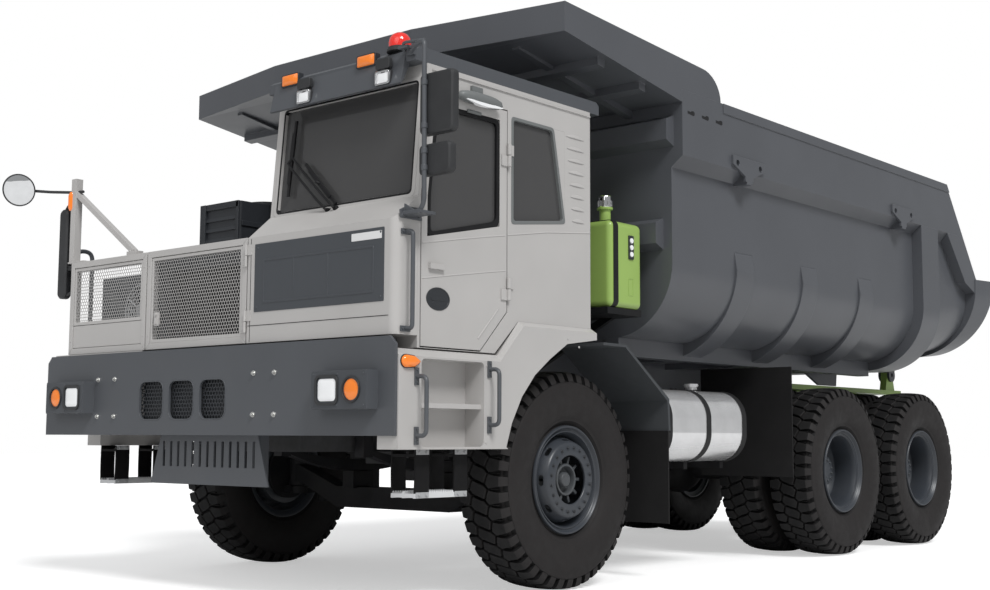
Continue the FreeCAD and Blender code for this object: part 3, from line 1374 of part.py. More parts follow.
def right_deck():
    """Deck over the right wheel, following the fender's steps, raised at the front under the mesh panel."""
    low, high = deck_low_z, deck_high_z
    t = deck_sheet
    rise_x = deck_rise_x
    top_z = panel_bottom_z - 1
    line = [(fender_rear_x, high), (fender_knee_high_x, high), (fender_knee_low_x, low), (rise_x, low),
            (rise_x, top_z - t), (cab_front_x, top_z - t)]
    upper = [(cab_front_x, top_z), (rise_x - t, top_z), (rise_x - t, low + t),
             (fender_knee_low_x + 5, low + t),
             (fender_knee_high_x + 5, high + t), (fender_rear_x, high + t)]
    sheet_part = prism_y(line + upper, -fender_lip_y, -deck_inner_y)
    foot = box(cab_front_x - 160, cab_front_x, -deck_inner_y - 200, -deck_inner_y, bumper_top, top_z - t + 1)
    return fused([sheet_part, foot])


def fender_outline(inset, front_x):
    """Side view of the fender: step box ahead, arch over the wheel, stepped top."""
    i = inset
    x, z = front_axle_x, tyre_radius
    arch = []
    for degrees in (60, 48, 36, 24, 14):
        a = math.radians(degrees)
        radius = arch_radius + (90 - degrees) * 0.2
        arch.append((x + (radius + i) * math.cos(a), z + (radius + i) * math.sin(a)))
    return ([(arch_front_x + i, fender_bottom_z + i), (front_x - i, fender_bottom_z + i),
             (front_x - i, fender_low_z - i), (fender_knee_low_x - i * 0.4, fender_low_z - i),
             (fender_knee_high_x - i * 0.4, fender_high_z - i), (fender_rear_x + i, fender_high_z - i),
             (fender_rear_x + i, arch_rear_z + i), (x + 277, 1655.0 + i)] + arch)


arch_radius = 918.0


def fender(front_x, opening_x):
    """Fender seen as the left one: boxed side with the step opening, wheel arch, shelf and the lip on its top."""
    t = fender_skin
    outer = prism_y(fender_outline(0, front_x), fender_inner_y, fender_outer_y)
    inner = prism_y(fender_outline(t, front_x), fender_inner_y + t, fender_outer_y - t)
    opening = box(step_rear_x, opening_x, fender_outer_y - t - 1, fender_outer_y + 1, step_low_z, step_high_z)
    edges = [e for e in opening.Edges if abs(e.tangentAt(e.FirstParameter).y) > 0.9]
    opening = opening.makeFillet(30, edges)
    walls = [box(x, x + t, fender_inner_y + 1, fender_outer_y - 1, fender_bottom_z + 1, fender_low_z - 1)
             for x in (step_rear_x - t, opening_x)]
    shelf = box(step_rear_x - 2, opening_x + 2, fender_inner_y + 1, fender_outer_y - 25, step_shelf_z - 30,
                step_shelf_z)
    stations = [(fender_rear_x, fender_rear_x, fender_high_z, lip_rise_high),
                (fender_knee_high_x, fender_knee_high_x, fender_high_z, lip_rise_high),
                (fender_knee_low_x, fender_knee_low_x - 25, fender_low_z, lip_rise_low),
                (front_x, front_x, fender_low_z, lip_rise_low)]
    yi, yo = fender_lip_y, fender_outer_y
    wires = []
    for xo, xi, zo, rise in stations:
        wires.append(Part.makePolygon([V(xo, yo, zo), V(xi, yi, zo + rise), V(xi, yi, zo + rise - t),
                                       V(xo, yo, zo - t),
                                       V(xo, yo, zo)]))
    lip = Part.makeLoft(wires, True, True)
    return fused([outer.cut(inner).cut(opening), shelf, lip] + walls)


def mud_guard(side):
    """Guard sheet and hanging flap behind a front wheel, on an arm from the frame rail."""
    y0, y1 = sorted((side * 1230, side * guard_outer_y))
    x = front_axle_x
    wing = prism_y([(x - 200, 1676), (x - 200, 1696), (x - 472, 1695), (x - 1022, 1322), (x - 1037, 1073),
                    (x - 1012, 1073), (x - 998, 1306), (x - 464, 1675)], y0, y1)
    flap = box(x - 1012, x - 1000, y0, y1, 410, 1090)
    a0, a1 = sorted((side * rail_outer_y, side * 1240))
    arm = box(x - 1060, x - 1010, a0, a1, 1200, 1250)
    return fused([wing, flap, arm])


guard_outer_y = 1800.0


def mud_flaps():
    """Front wheel guards and the flat flaps ahead of the rear wheels."""
    rear_x = front_axle_x - 2900
    flaps = [mud_guard(1), mud_guard(-1)]
    for side in (1, -1):
        y0, y1 = sorted((side * 900, side * 1795))
        plate = box(rear_x - 12, rear_x, y0, y1, 710, 1640)
        arm_y0, arm_y1 = sorted((side * rail_outer_y, side * 910))
        flaps.append(fused([plate, box(rear_x - 12, rear_x + 40, arm_y0, arm_y1, 1250, 1330)]))
    return flaps


step_centre_x = front_axle_x + 1400.0
right_step_centre_x = front_axle_x + 1235.0
step_outer_y = 1850.0 - 94.0
step_tread_depth = 200.0
step_tread_half = 230.0
step_tread_z = 673.0
step_tread_height = 42.0
step_bar = 26.0
strap_width = 120.0
strap_wall = 12.0
hanger_bar_z = 915.0


def hanging_steps():
    """Tread on four rubber straps hanging under each step box."""
    hangers = []
    for side, centre_x in ((1, step_centre_x), (-1, right_step_centre_x)):
        y_out, y_in = side * step_outer_y, side * (step_outer_y - step_tread_depth)
        low, high = sorted((y_out, y_in))
        x0, x1 = centre_x - step_tread_half, centre_x + step_tread_half
        tread = box(x0, x1, low, high, step_tread_z, step_tread_z + step_tread_height)
        pockets = []
        slat = (high - low - 3 * step_bar) / 2.0
        for i in range(2):
            y = low + step_bar + i * (slat + step_bar)
            pockets.append(box(x0 + step_bar, x1 - step_bar, y, y + slat, step_tread_z - 1,
                               step_tread_z + step_tread_height + 1))
        pieces = [tread.cut(Part.makeCompound(pockets))]
        for x in (x0, x1 - strap_width):
            for y in (low, high - strap_wall):
                pieces.append(box(x, x + strap_width, y, y + strap_wall, step_tread_z + step_tread_height - 1,
                                  fender_bottom_z))
            pieces.append(box(x, x + strap_width, low, high, hanger_bar_z, hanger_bar_z + 20))
        hangers.append(fused(pieces))
    return hangers


# ================================================================ tanks and fittings
hydraulic_tank_x0 = front_axle_x - 800.0
hydraulic_tank_x1 = front_axle_x - 400.0
hydraulic_tank_low = 1968.0
hydraulic_tank_high = 2600.0


def hydraulic_tank():
    """Rounded oil tank with its flanged filler neck and cap."""
    tank = box(hydraulic_tank_x0, hydraulic_tank_x1, 1150, 1720, hydraulic_tank_low, hydraulic_tank_high)
    tank = tank.makeFillet(45, tank.Edges)
    x, y = front_axle_x - 500, 1600
    neck = rod(V(x, y, hydraulic_tank_high - 5), V(x, y, 2690), 42)
    flange = rod(V(x, y, 2690), V(x, y, 2706), 58)
    cap = rod(V(x, y, 2706), V(x, y, 2790), 46)
    return fused([tank, neck, flange, cap])


def hydraulic_tank_stand():
    """Shelf under the oil tank on two posts from the frame rail."""
    shelf = box(hydraulic_tank_x0 - 10, hydraulic_tank_x1 + 10, rail_outer_y, 1700, 1920, hydraulic_tank_low)
    posts = [box(x, x + 80, rail_outer_y, rail_outer_y + 70, rail_bottom + 60, 1925)
             for x in (hydraulic_tank_x0 + 20, hydraulic_tank_x1 - 100)]
    brace = prism_x([(rail_outer_y, 1500), (rail_outer_y, 1400), (1500, 1921), (1380, 1921)],
                    hydraulic_tank_x0 + 30, hydraulic_tank_x0 + 70)
    return fused([shelf, brace] + posts)


fuel_tank_x0 = front_axle_x - 2310.0
fuel_tank_x1 = front_axle_x - 1150.0
fuel_tank_inner_y = 1140.0
fuel_tank_outer_y = 1700.0
fuel_tank_low = 850.0
fuel_tank_high = 1410.0
fuel_tank_round = 225.0
fuel_tank_small_round = 60.0
tank_strap_wall = 6.0
tank_strap_width = 60.0
tank_strap_x = [front_axle_x - 1180.0, front_axle_x - 1730.0, front_axle_x - 2270.0]


def d_section(x0, x1, grow):
    """D-shaped bar along X: large rounds outside, small rounds inside."""
    g = grow
    block = box(x0, x1, fuel_tank_inner_y - g, fuel_tank_outer_y + g, fuel_tank_low - g, fuel_tank_high + g)
    along = [e for e in block.Edges if abs(e.tangentAt(e.FirstParameter).x) > 0.9]
    big = [e for e in along if e.Vertexes[0].Y > fuel_tank_outer_y - 1]
    small = [e for e in along if e.Vertexes[0].Y < fuel_tank_inner_y + 1]
    block = block.makeFillet(fuel_tank_round + g, big)
    along = [e for e in block.Edges if e.Vertexes[0].Y < fuel_tank_inner_y + 1 and e.Vertexes[-1].Y < fuel_tank_inner_y + 1
             and abs(e.tangentAt(e.FirstParameter).x) > 0.9]
    return block.makeFillet(fuel_tank_small_round + g, along) if small else block


def fuel_tank():
    """D-shaped tank with a filler neck and cap on its shoulder."""
    neck = rod(V(fuel_tank_x0 + 330, 1380, fuel_tank_high - 5),
               V(fuel_tank_x0 + 330, 1380, fuel_tank_high + 40), 52)
    cap = rod(V(fuel_tank_x0 + 330, 1380, fuel_tank_high + 40),
              V(fuel_tank_x0 + 330, 1380, fuel_tank_high + 62), 62)
    return fused([d_section(fuel_tank_x0, fuel_tank_x1, 0), neck, cap])


def fuel_tank_cradle():
    """Three brackets from the frame rail, each with its strap round the tank."""
    brackets = []
    for x in tank_strap_x:
        strap = d_section(x - tank_strap_width / 2.0, x + tank_strap_width / 2.0, tank_strap_wall)
        strap = strap.cut(d_section(x - tank_strap_width, x + tank_strap_width, 0))
        shelf = box(x - 25, x + 25, rail_outer_y, 1480, fuel_tank_low - 60, fuel_tank_low - tank_strap_wall + 1)
        post = box(x - 25, x + 25, rail_outer_y, rail_outer_y + 60, fuel_tank_low - 60, rail_top - 60)
        web = box(x - 25, x + 25, 1060, fuel_tank_inner_y - tank_strap_wall + 1, fuel_tank_low - 60,
                  fuel_tank_high - 120)
        brackets.append(fused([strap, shelf, post, web]))
    return brackets


def battery_box():
    """Lidded battery box and an air reservoir on the right side of the frame, on two shelf arms."""
    x0, x1 = front_axle_x - 1900, front_axle_x - 1250
    y0, y1 = -1640, -1120
    case = box(x0, x1, y0, y1, 880, 1300)
    lid = box(x0 - 12, x1 + 12, y0 - 12, y1 + 12, 1300, 1345)
    reservoir = rod(V(x0 + 20, -880, 1020), V(x1 - 20, -880, 1020), 140)
    arms = [box(x, x + 60, y0 + 60, -rail_outer_y, 815, 881) for x in (x0 + 80, x1 - 140)]
    posts = [box(x, x + 60, -rail_outer_y - 60, -rail_outer_y, 815, rail_top - 60) for x in (x0 + 80,
                                                                                             x1 - 140)]
    return fused([case, lid, reservoir] + arms + posts)


def air_cleaner():
    """Intake box and upright filter drum on the right deck, joined by a duct."""
    base = deck_high_z + deck_sheet
    box_x = front_axle_x + 385
    drum_x = front_axle_x + 190
    housing = box(box_x, box_x + 330, -1560, -1090, base, 2900)
    housing = housing.makeFillet(30, [e for e in housing.Edges if abs(e.tangentAt(e.FirstParameter).z) > 0.9])
    drum = rod(V(drum_x, -1385, base), V(drum_x, -1385, 2930), 165)
    lid = rod(V(drum_x, -1385, 2930), V(drum_x, -1385, 2962), 176)
    duct = rod(V(drum_x, -1385, 2640), V(box_x + 30, -1385, 2640), 95)
    return fused([housing, drum, lid, duct])


mirror_reach = 2180.0
mirror_front_x = front_axle_x + mirror_overhang


def right_mirror_post():
    """Square post with a brace, upright long mirror and the round mirror on its arm."""
    x = cab_front_x - 50
    y = -1680.0
    foot = box(x - 40, x + 40, y - 30, y + 180, panel_top_z, panel_top_z + 12)
    post = box(x - 30, x + 30, y - 30, y + 30, panel_top_z, 2975)
    brace = rod(V(x, y + 20, 2860), V(x, -900, panel_top_z + 25), 20)
    pad = box(x - 30, x + 30, -960, -840, panel_top_z, panel_top_z + 30)
    rail = box(x - 40, x + 20, -1885, -1775, 2060, 2760)
    arms = [rod(V(x - 10, y, z), V(x - 10, -1800, z), 12) for z in (2400, 2700)]
    tip = V(mirror_front_x - 60, -mirror_reach + 130, 2905)
    arm = rod(V(x, y, 2880), tip, 12)
    dish = rod(tip, tip + V(60, 0, 0), 130)
    return fused([foot, post, brace, pad, rail, arm, dish] + arms)


def left_mirrors():
    """Bent tube with a large and a small mirror ahead of the door."""
    x = front_axle_x + 1800
    y = cab_left_y
    roof_x = cab_roof_front_x + roof_front_overhang
    bracket = box(roof_x, roof_x + 22, y - 60, y - 5, 3330, 3370)
    top = rod(V(roof_x + 16, y - 30, 3348), V(x, 1960, 3367), 14)
    upright = rod(V(x, 1960, 3367), V(x, 1990, 2345), 14)
    corners = [Part.makeSphere(14, V(x, 1960, 3367)), Part.makeSphere(14, V(x, 1990, 2345))]
    low = rod(V(x, 1990, 2345), V(x, y + 1, 2345), 14)
    pad = box(x - 60, x + 20, y, y + 12, 2310, 2375)
    large = box(x - 70, x + 20, 1900, mirror_reach, 2785, 3207)
    small = box(x - 70, x + 20, 1895, mirror_reach - 10, 2540, 2756)
    large = large.makeFillet(28, [e for e in large.Edges if abs(e.tangentAt(e.FirstParameter).x) > 0.9])
    small = small.makeFillet(28, [e for e in small.Edges if abs(e.tangentAt(e.FirstParameter).x) > 0.9])
    return fused([bracket, top, upright, low, pad, large, small] + corners)


def bent_rail(points, radius):
    """Round tube through several corners, each corner closed by a ball."""
    pieces = [rod(a, b, radius) for a, b in zip(points, points[1:])]
    pieces += [Part.makeSphere(radius, corner) for corner in points[1:-1]]
    return fused(pieces)


grab_radius = 14.0
grab_reach = 85.0


def handrails():
    """Grab rail at the cab's corner, grab handles beside the step boxes and the right deck's rail."""
    x = cab_front_x - 75
    y = cab_left_y
    rails = [bent_rail([V(x, y, 2240), V(x, y + 62, 2240), V(x, y + 62, 1665), V(x, y, 1665)], grab_radius)]
    for side, x, low, high in ((1, step_rear_x - 45, 1109, 1453), (1, step_front_x + 45, 1041, 1387),
                               (-1, step_rear_x - 45, 1109, 1453), (-1, right_step_front_x + 45, 1041, 1387)):
        y = side * fender_outer_y
        out = side * grab_reach
        rails.append(bent_rail([V(x, y, high), V(x, y + out, high), V(x, y + out, low), V(x, y, low)],
                               grab_radius))
    base = deck_low_z + deck_sheet
    top = 2600.0
    y = -fender_lip_y + 30
    x0, x1 = front_axle_x + 1030, front_axle_x + 1560
    rails.append(bent_rail([V(x0, y, base), V(x0, y, top), V(x1, y, top), V(x1, y, base)], grab_radius + 3))
    return rails


def make_all():
    os.makedirs("parts", exist_ok=True)
    make_wheels()
    save("chassis_frame", chassis_frame())
    save("leaf_springs", front_springs() + rear_springs())
    save("front_axle_beam", front_axle_beam())
    save("left_knuckle", knuckle(1))
    save("right_knuckle", knuckle(-1))
    save("tie_rod", tie_rod())
    save("rear_axle_housings", [rear_axle_housing(rear_axle_1_x), rear_axle_housing(rear_axle_2_x)])
    save("propshafts", propshafts())
    save("engine_block", engine_block())
    save("engine_hood", engine_hood())
    save("radiator", radiator())
    save("front_bumper", front_bumper())
    save("under_guard", under_guard())
    save("dump_body", dump_body())
    save("body_hoops", body_hoops())
    save("body_tail_frame", tail_frame())
    save("canopy", canopy())
    save("body_pivot_lugs", body_hinge() + hoist_bracket())
    save("rear_subframe", rear_subframe())
    save("hoist_barrel", hoist_barrel())
    for number in range(1, hoist_stage_count + 1):
        save("hoist_stage_%d" % number, hoist_stage(number))
    save("cab_shell", cab_shell())
    save("cab_nose", cab_nose())
    save("cab_door", cab_door())
    save("door_glass", door_glass())
    save("cab_windows", cab_windows())
    save("roof_visor", roof_visor())
    save("seat", seat())
    save("dashboard", dashboard())
    save("outer_deck_panel", panel(outer_panel_y0, outer_panel_y1, 170))
    save("radiator_door", radiator_door())
    save("right_deck", right_deck())
    save("fenders", [fender(fender_front_x, step_front_x),
                     mirrored(fender(right_fender_front_x, right_step_front_x))])
    save("mud_flaps", mud_flaps())
    save("hanging_steps", hanging_steps())
    save("hydraulic_tank", hydraulic_tank())
    save("hydraulic_tank_stand", hydraulic_tank_stand())
    save("fuel_tank", fuel_tank())
    save("fuel_tank_cradle", fuel_tank_cradle())
    save("battery_box", battery_box())
    save("air_cleaner", air_cleaner())
    save("right_mirror_post", right_mirror_post())
    save("left_mirrors", left_mirrors())
    save("handrails", handrails())


make_all()
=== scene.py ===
"""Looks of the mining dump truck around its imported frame. Metres, in the frame's own axes: +X forward, +Y to the
truck's left, +Z up from the ground."""
import json
import math

import bmesh
import bpy
from mathutils import Matrix, Vector


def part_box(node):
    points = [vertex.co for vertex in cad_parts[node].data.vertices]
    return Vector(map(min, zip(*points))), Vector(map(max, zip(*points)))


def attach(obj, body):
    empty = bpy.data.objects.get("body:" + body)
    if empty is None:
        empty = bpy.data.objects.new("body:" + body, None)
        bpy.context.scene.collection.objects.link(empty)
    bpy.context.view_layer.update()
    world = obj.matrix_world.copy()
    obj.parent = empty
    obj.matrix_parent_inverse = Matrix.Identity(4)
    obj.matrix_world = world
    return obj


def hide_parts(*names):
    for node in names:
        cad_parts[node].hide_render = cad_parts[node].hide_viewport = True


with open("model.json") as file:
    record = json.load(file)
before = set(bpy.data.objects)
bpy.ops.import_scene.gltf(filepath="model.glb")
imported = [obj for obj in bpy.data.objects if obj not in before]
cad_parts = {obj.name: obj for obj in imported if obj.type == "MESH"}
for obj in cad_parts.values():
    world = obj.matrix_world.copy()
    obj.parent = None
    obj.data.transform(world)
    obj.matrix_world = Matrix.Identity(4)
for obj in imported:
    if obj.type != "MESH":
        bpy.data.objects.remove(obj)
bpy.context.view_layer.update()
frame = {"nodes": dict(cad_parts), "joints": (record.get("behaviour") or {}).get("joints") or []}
PI = math.pi


# ---------------------------------------------------------------- places read from the frame
def low(node):
    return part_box(node)[0]


def high(node):
    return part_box(node)[1]


JOINTS = {j["name"]: j.get("pos_m") for j in frame["joints"]}
AXLE_X, _, WHEEL_Z = JOINTS["steer_left"]
REAR_X = {n: JOINTS["rear_left_spin_%d" % n][0] for n in (1, 2)}
FRONT_WHEEL_Y = abs(JOINTS["front_left_wheel_spin"][1])
SIDES = (("left", 1), ("right", -1))
FORWARD, LEFT, UP = Vector((1, 0, 0)), Vector((0, 1, 0)), Vector((0, 0, 1))


# ---------------------------------------------------------------- camera, solved from the photo's wheels and edges
LENS, SENSOR, CLIP_END = 48.963, 36.0, 200.0
CAMERA_AT = Vector((AXLE_X + 7.40090, 7.32896, 1.03456))
CAMERA_AXES = ((-0.65120, 0.75890, 0.00393), (0.08227, 0.06544, 0.99446), (0.75444, 0.64791, -0.10505))


def link(name, data):
    obj = bpy.data.objects.new(name, data)
    bpy.context.scene.collection.objects.link(obj)
    return obj


def make_camera():
    data = bpy.data.cameras.new("camera")
    data.lens, data.sensor_width, data.clip_end = LENS, SENSOR, CLIP_END
    cam = link("camera", data)
    cam.matrix_world = Matrix.Translation(CAMERA_AT) @ Matrix(CAMERA_AXES).transposed().to_4x4()
    bpy.context.scene.camera = cam


# ---------------------------------------------------------------- mesh building
def circle(count, radius=1.0, start=0.0):
    """Points round a circle; start is in steps."""
    turns = [2 * PI * (i + start) / count for i in range(count)]
    return [(radius * math.cos(a), radius * math.sin(a)) for a in turns]


class Build:
    """Gathers closed shapes into one mesh object."""

    def __init__(self):
        self.bm = bmesh.new()

    def faces(self, verts, faces, smooth=False, flat=()):
        vs = [self.bm.verts.new(v) for v in verts]
        for group, soft_look in ((faces, smooth), (flat, False)):
            for f in group:
                try:
                    self.bm.faces.new([vs[i] for i in f]).smooth = soft_look
                except ValueError:
                    continue       # the same face twice, or one shrunk to a line

    def skin(self, loops, smooth=False, caps="as sides"):
        """Skin over loops with the same count; caps is "as sides", "flat" or None."""
        n, last = len(loops[0]), len(loops[0]) * (len(loops) - 1)
        sides = [[r + i, r + (i + 1) % n, r + n + (i + 1) % n, r + n + i] for r in range(0, last, n) for i in range(n)]
        ends = [list(reversed(range(n))), [last + i for i in range(n)]] if caps else []
        if caps == "flat":
            self.faces([p for loop in loops for p in loop], sides, smooth, ends)
        else:
            self.faces([p for loop in loops for p in loop], sides + ends, smooth)

    def box(self, x0, x1, y0, y1, z0, z1):
        self.skin([[Vector((x, y, z)) for x, y in ((x0, y0), (x1, y0), (x1, y1), (x0, y1))] for z in (z0, z1)])

    def boxes(self, *sizes):
        for size in sizes:
            self.box(*size)

    def block(self, centre, size, turn):
        """Box by its centre and size, turned by a 3x3 matrix."""
        hx, hy, hz = (s / 2 for s in size)
        self.skin([[Vector(centre) + turn @ Vector((x, y, z)) for x, y in ((-hx, -hy), (hx, -hy), (hx, hy), (-hx, hy))]
                   for z in (-hz, hz)])

    def rod(self, p, q, r0, r1=None, sides=20, smooth=True):
        p, q = Vector(p), Vector(q)
        turn = (q - p).to_track_quat("Z", "Y").to_matrix()
        self.skin([[c + turn @ Vector((u, v, 0)) for u, v in circle(sides, r)]
                   for c, r in ((p, r0), (q, r0 if r1 is None else r1))], smooth, "flat")

    def tube(self, points, radius, sides=12):
        """Round bar that follows points, mitred at each, with flat ends."""
        pts = [Vector(p) for p in points]
        loops, side = [], None
        for before, p, after in zip(pts[:1] + pts, pts, pts[1:] + pts[-1:]):
            d = (after - before).normalized()
            side = (side - d * side.dot(d)).normalized() if side else d.orthogonal().normalized()
            loops.append([p + side * c + d.cross(side) * s for c, s in circle(sides, radius)])
        self.skin(loops, True, "flat")

    def prism(self, outline, axis, a, b):
        """Outline of 2-D points drawn along x, y or z from a to b; points keep the order of the other axes."""
        self.skin([[Vector({"x": (w, u, v), "y": (u, w, v), "z": (u, v, w)}[axis]) for u, v in outline]
                   for w in (a, b)])

    def lathe(self, profile, centre, axis="y", sides=64, out=1):
        """Closed profile of (along, radius) points spun about the y or z axis; out = -1 mirrors it."""
        m = len(profile)
        verts = [Vector(centre) + Vector((r * c, along * out, r * s) if axis == "y" else (r * c, r * s, along))
                 for c, s in circle(sides) for along, r in profile]
        faces = [[k * m + i, k * m + j, (k + 1) % sides * m + j, (k + 1) % sides * m + i] for k in range(sides)
                 for i, j in zip(range(m), [*range(1, m), 0]) if max(profile[i][1], profile[j][1]) > 1e-6]
        self.faces(verts, faces, True)

    def bolt(self, at, direction, radius, height, washer=True):
        """Hexagon head on a washer."""
        at, d = Vector(at), Vector(direction).normalized()
        if washer:
            self.rod(at, at + d * height * 0.3, radius * 1.45, sides=16)
        self.rod(at + d * height * 0.25, at + d * height, radius * 1.15, radius * 1.05, sides=6, smooth=False)

    def ball(self, centre, radius):
        made = bmesh.ops.create_uvsphere(self.bm, u_segments=16, v_segments=10, radius=radius,
                                         matrix=Matrix.Translation(centre))
        for vert in made["verts"]:
            for f in vert.link_faces:
                f.smooth = True

    def plain(self, name):
        """The gathered shapes as an object; the builder starts afresh."""
        mesh = bpy.data.meshes.new(name)
        bmesh.ops.recalc_face_normals(self.bm, faces=self.bm.faces)
        self.bm.to_mesh(mesh)
        self.bm.free()
        self.bm = bmesh.new()
        return link(name, mesh)

    def done(self, name, look, slot, body="chassis", bevel=0.0, angle=35.0, segments=2, replaces=()):
        """Ends a piece: its material, its edges, the body it rides on and the nodes that it stands for."""
        bmesh.ops.remove_doubles(self.bm, verts=self.bm.verts, dist=1e-6)
        obj = self.plain(name)
        obj.data.materials.append(M[look])
        if bevel:
            mod = obj.modifiers.new("bevel", "BEVEL")
            mod.width, mod.segments = bevel, segments
            mod.limit_method, mod.angle_limit = "ANGLE", math.radians(angle)
            obj.data.polygons.foreach_set("use_smooth", [True] * len(obj.data.polygons))
        obj.data.set_sharp_from_angle(angle=math.radians(angle))
        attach(obj, body)
        if replaces:
            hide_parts(*replaces)
        return obj


# ---------------------------------------------------------------- outlines
def rounded(u0, u1, v0, v1, r, steps=5):
    """Rectangle outline with round corners."""
    turns = [(math.radians(start + 90 * i / steps), cu, cv) for cu, cv, start in (
        (u1 - r, v0 + r, -90), (u1 - r, v1 - r, 0), (u0 + r, v1 - r, 90), (u0 + r, v0 + r, 180))
        for i in range(steps + 1)]
    return [(cu + r * math.cos(a), cv + r * math.sin(a)) for a, cu, cv in turns]


def about(cu, cv, hu, hv, r):
    """The same by its middle and half sizes."""
    return rounded(cu - hu, cu + hu, cv - hv, cv + hv, r)


def ellipse(cu, cv, ru, rv, steps=28):
    return [(cu + ru * c, cv + rv * s) for c, s in circle(steps)]


def arc(a, b, c, radius, steps, reach):
    """Points that round off the corner b between a and c."""
    u, v = a - b, c - b
    r = min(radius, u.length * reach, v.length * reach)
    p, q = b + u.normalized() * r, b + v.normalized() * r
    return [p * (1 - t) ** 2 + b * 2 * t * (1 - t) + q * t * t for t in (i / steps for i in range(steps + 1))]


def round_path(points, radius, steps=5):
    """Points of a route with each corner turned into an arc."""
    pts = [Vector(p) for p in points]
    bends = [arc(a, b, c, radius, steps, 0.48) for a, b, c in zip(pts, pts[1:], pts[2:])]
    return [pts[0], *(p for bend in bends for p in bend), pts[-1]]


def soft(outline, r, steps=4):
    """Outline with its corners rounded."""
    pts = [Vector(p) for p in outline]
    return [(p.x, p.y) for a, b, c in zip(pts[-1:] + pts, pts, pts[1:] + pts[:1]) for p in arc(a, b, c, r, steps, 0.45)]


def grown(outline, d):
    """Outline with every edge moved outward by d (negative: inward)."""
    pts = [Vector(p) for p in outline]
    after = pts[1:] + pts[:1]
    s = math.copysign(1, sum(p.x * q.y - q.x * p.y for p, q in zip(pts, after)))
    out = []
    for p, q, r in zip(pts[-1:] + pts, pts, after):
        e, f = (q - p).normalized(), (r - q).normalized()
        ne = Vector((e.y, -e.x)) * s
        m = ne + Vector((f.y, -f.x)) * s
        m = m / max(1e-9, m.dot(ne)) if m.length > 1e-9 else ne
        out.append((q.x + m.x * d, q.y + m.y * d))
    return out


def ring(b, outer, inner, at, d0, d1):
    """Closed frame between two outlines with the same count; at(u, v, d) places a point."""
    n = len(outer)
    verts = [at(u, v, d) for loop in (outer, inner) for d in (d0, d1) for u, v in loop]
    faces = []
    for i, j in zip(range(n), [*range(1, n), 0]):
        faces += [[i, j, n + j, n + i], [2 * n + j, 2 * n + i, 3 * n + i, 3 * n + j],
                  [n + i, n + j, 3 * n + j, 3 * n + i], [j, i, 2 * n + i, 2 * n + j]]
    b.faces(verts, faces)


def slab(b, outline, at, d0, d1):
    """Plate of an outline between two depths; at(u, v, d) places a point."""
    b.skin([[at(u, v, d) for u, v in outline] for d in (d0, d1)])


def dome(b, outline, x, rise, depth=0.012, steps=4, reach=0.94, draw=0.96):
    """Lens: an outline that bulges forward from x in a shallow dome, as deep behind x as depth. It rises over the
    reach, and draws in as it rises."""
    cu, cv = (sum(p[i] for p in outline) / len(outline) for i in (0, 1))
    loops = [[Vector((x - depth, u, v)) for u, v in outline]]
    for t in (k / steps * reach for k in range(steps + 1)):
        k = 1 - t * draw
        loops.append([Vector((x + rise * math.sqrt(t * (2 - t)), cu + (u - cu) * k, cv + (v - cv) * k))
                      for u, v in outline])
    b.skin(loops, True)


def on_x(x):
    """Places outline points on a plane that faces forward."""
    return lambda u, v, d: Vector((x + d, u, v))


def on_y(y, out=1):
    """The same on a plane that faces left, or right where out is -1."""
    return lambda u, v, d: Vector((u, y + out * d, v))


# ---------------------------------------------------------------- materials
class Nodes:
    """Small helper round one material's node tree."""

    def __init__(self, name):
        self.mat = bpy.data.materials.new(name)
        self.mat.use_nodes = True
        self.tree = self.mat.node_tree
        self.bsdf = self.tree.nodes["Principled BSDF"]
        texture = self.new("TexCoord").outputs
        self.coord, self.facing = texture["Object"], texture["Normal"]

    def put(self, socket, value):
        """Links the socket where the value is another socket, else sets it."""
        if isinstance(value, bpy.types.NodeSocket):
            self.tree.links.new(value, socket)
        else:
            socket.default_value = (*value, 1) if socket.type == "RGBA" else value

    def new(self, kind, ins=None, **settings):
        node = self.tree.nodes.new("ShaderNode" + kind)
        for key, value in settings.items():
            setattr(node, key, value)
        for key, value in (ins or {}).items():
            self.put(node.inputs[key], value)
        return node

    def finish(self, **values):
        """Sets the surface and hands over the material."""
        for key, value in values.items():
            self.put(self.bsdf.inputs[key.replace("_", " ")], value)
        return self.mat

    def noise(self, scale, detail, rough, source=None):
        return self.new("TexNoise", {"Scale": scale, "Detail": detail, "Roughness": rough,
                                     "Vector": source or self.coord}).outputs["Fac"]

    def ramp(self, fac, *stops):
        node = self.new("ValToRGB", {"Fac": fac})
        for element, (at, tone) in zip(node.color_ramp.elements, stops):
            element.position = at
            element.color = (*tone, 1) if isinstance(tone, tuple) else (tone, tone, tone, 1)
        return node.outputs["Color"]

    def cloud(self, scale, detail, rough, *stops):
        return self.ramp(self.noise(scale, detail, rough), *stops)

    def mix(self, fac, a, b):
        return self.new("Mix", {0: fac, 6: a, 7: b}, data_type="RGBA").outputs[2]

    def math(self, operation, a, b):
        return self.new("Math", {0: a, 1: b}, operation=operation, use_clamp=True).outputs[0]

    def axis(self, source, i):
        return self.new("SeparateXYZ", {0: source}).outputs[i]

    def wave(self, direction, scale, distortion=0.0):
        return self.new("TexWave", {"Scale": scale, "Distortion": distortion, "Vector": self.coord},
                        bands_direction=direction).outputs["Fac"]

    def soft_edge(self, radius):
        return self.new("Bevel", {"Radius": radius}, samples=4).outputs["Normal"]

    def bump(self, height, strength, distance, normal=None):
        base = {"Normal": normal} if normal else {}
        return self.new("Bump", {"Height": height, "Strength": strength, "Distance": distance,
                                 **base}).outputs["Normal"]


def scaled(colour, k):
    return tuple(min(1.0, c * k) for c in colour)


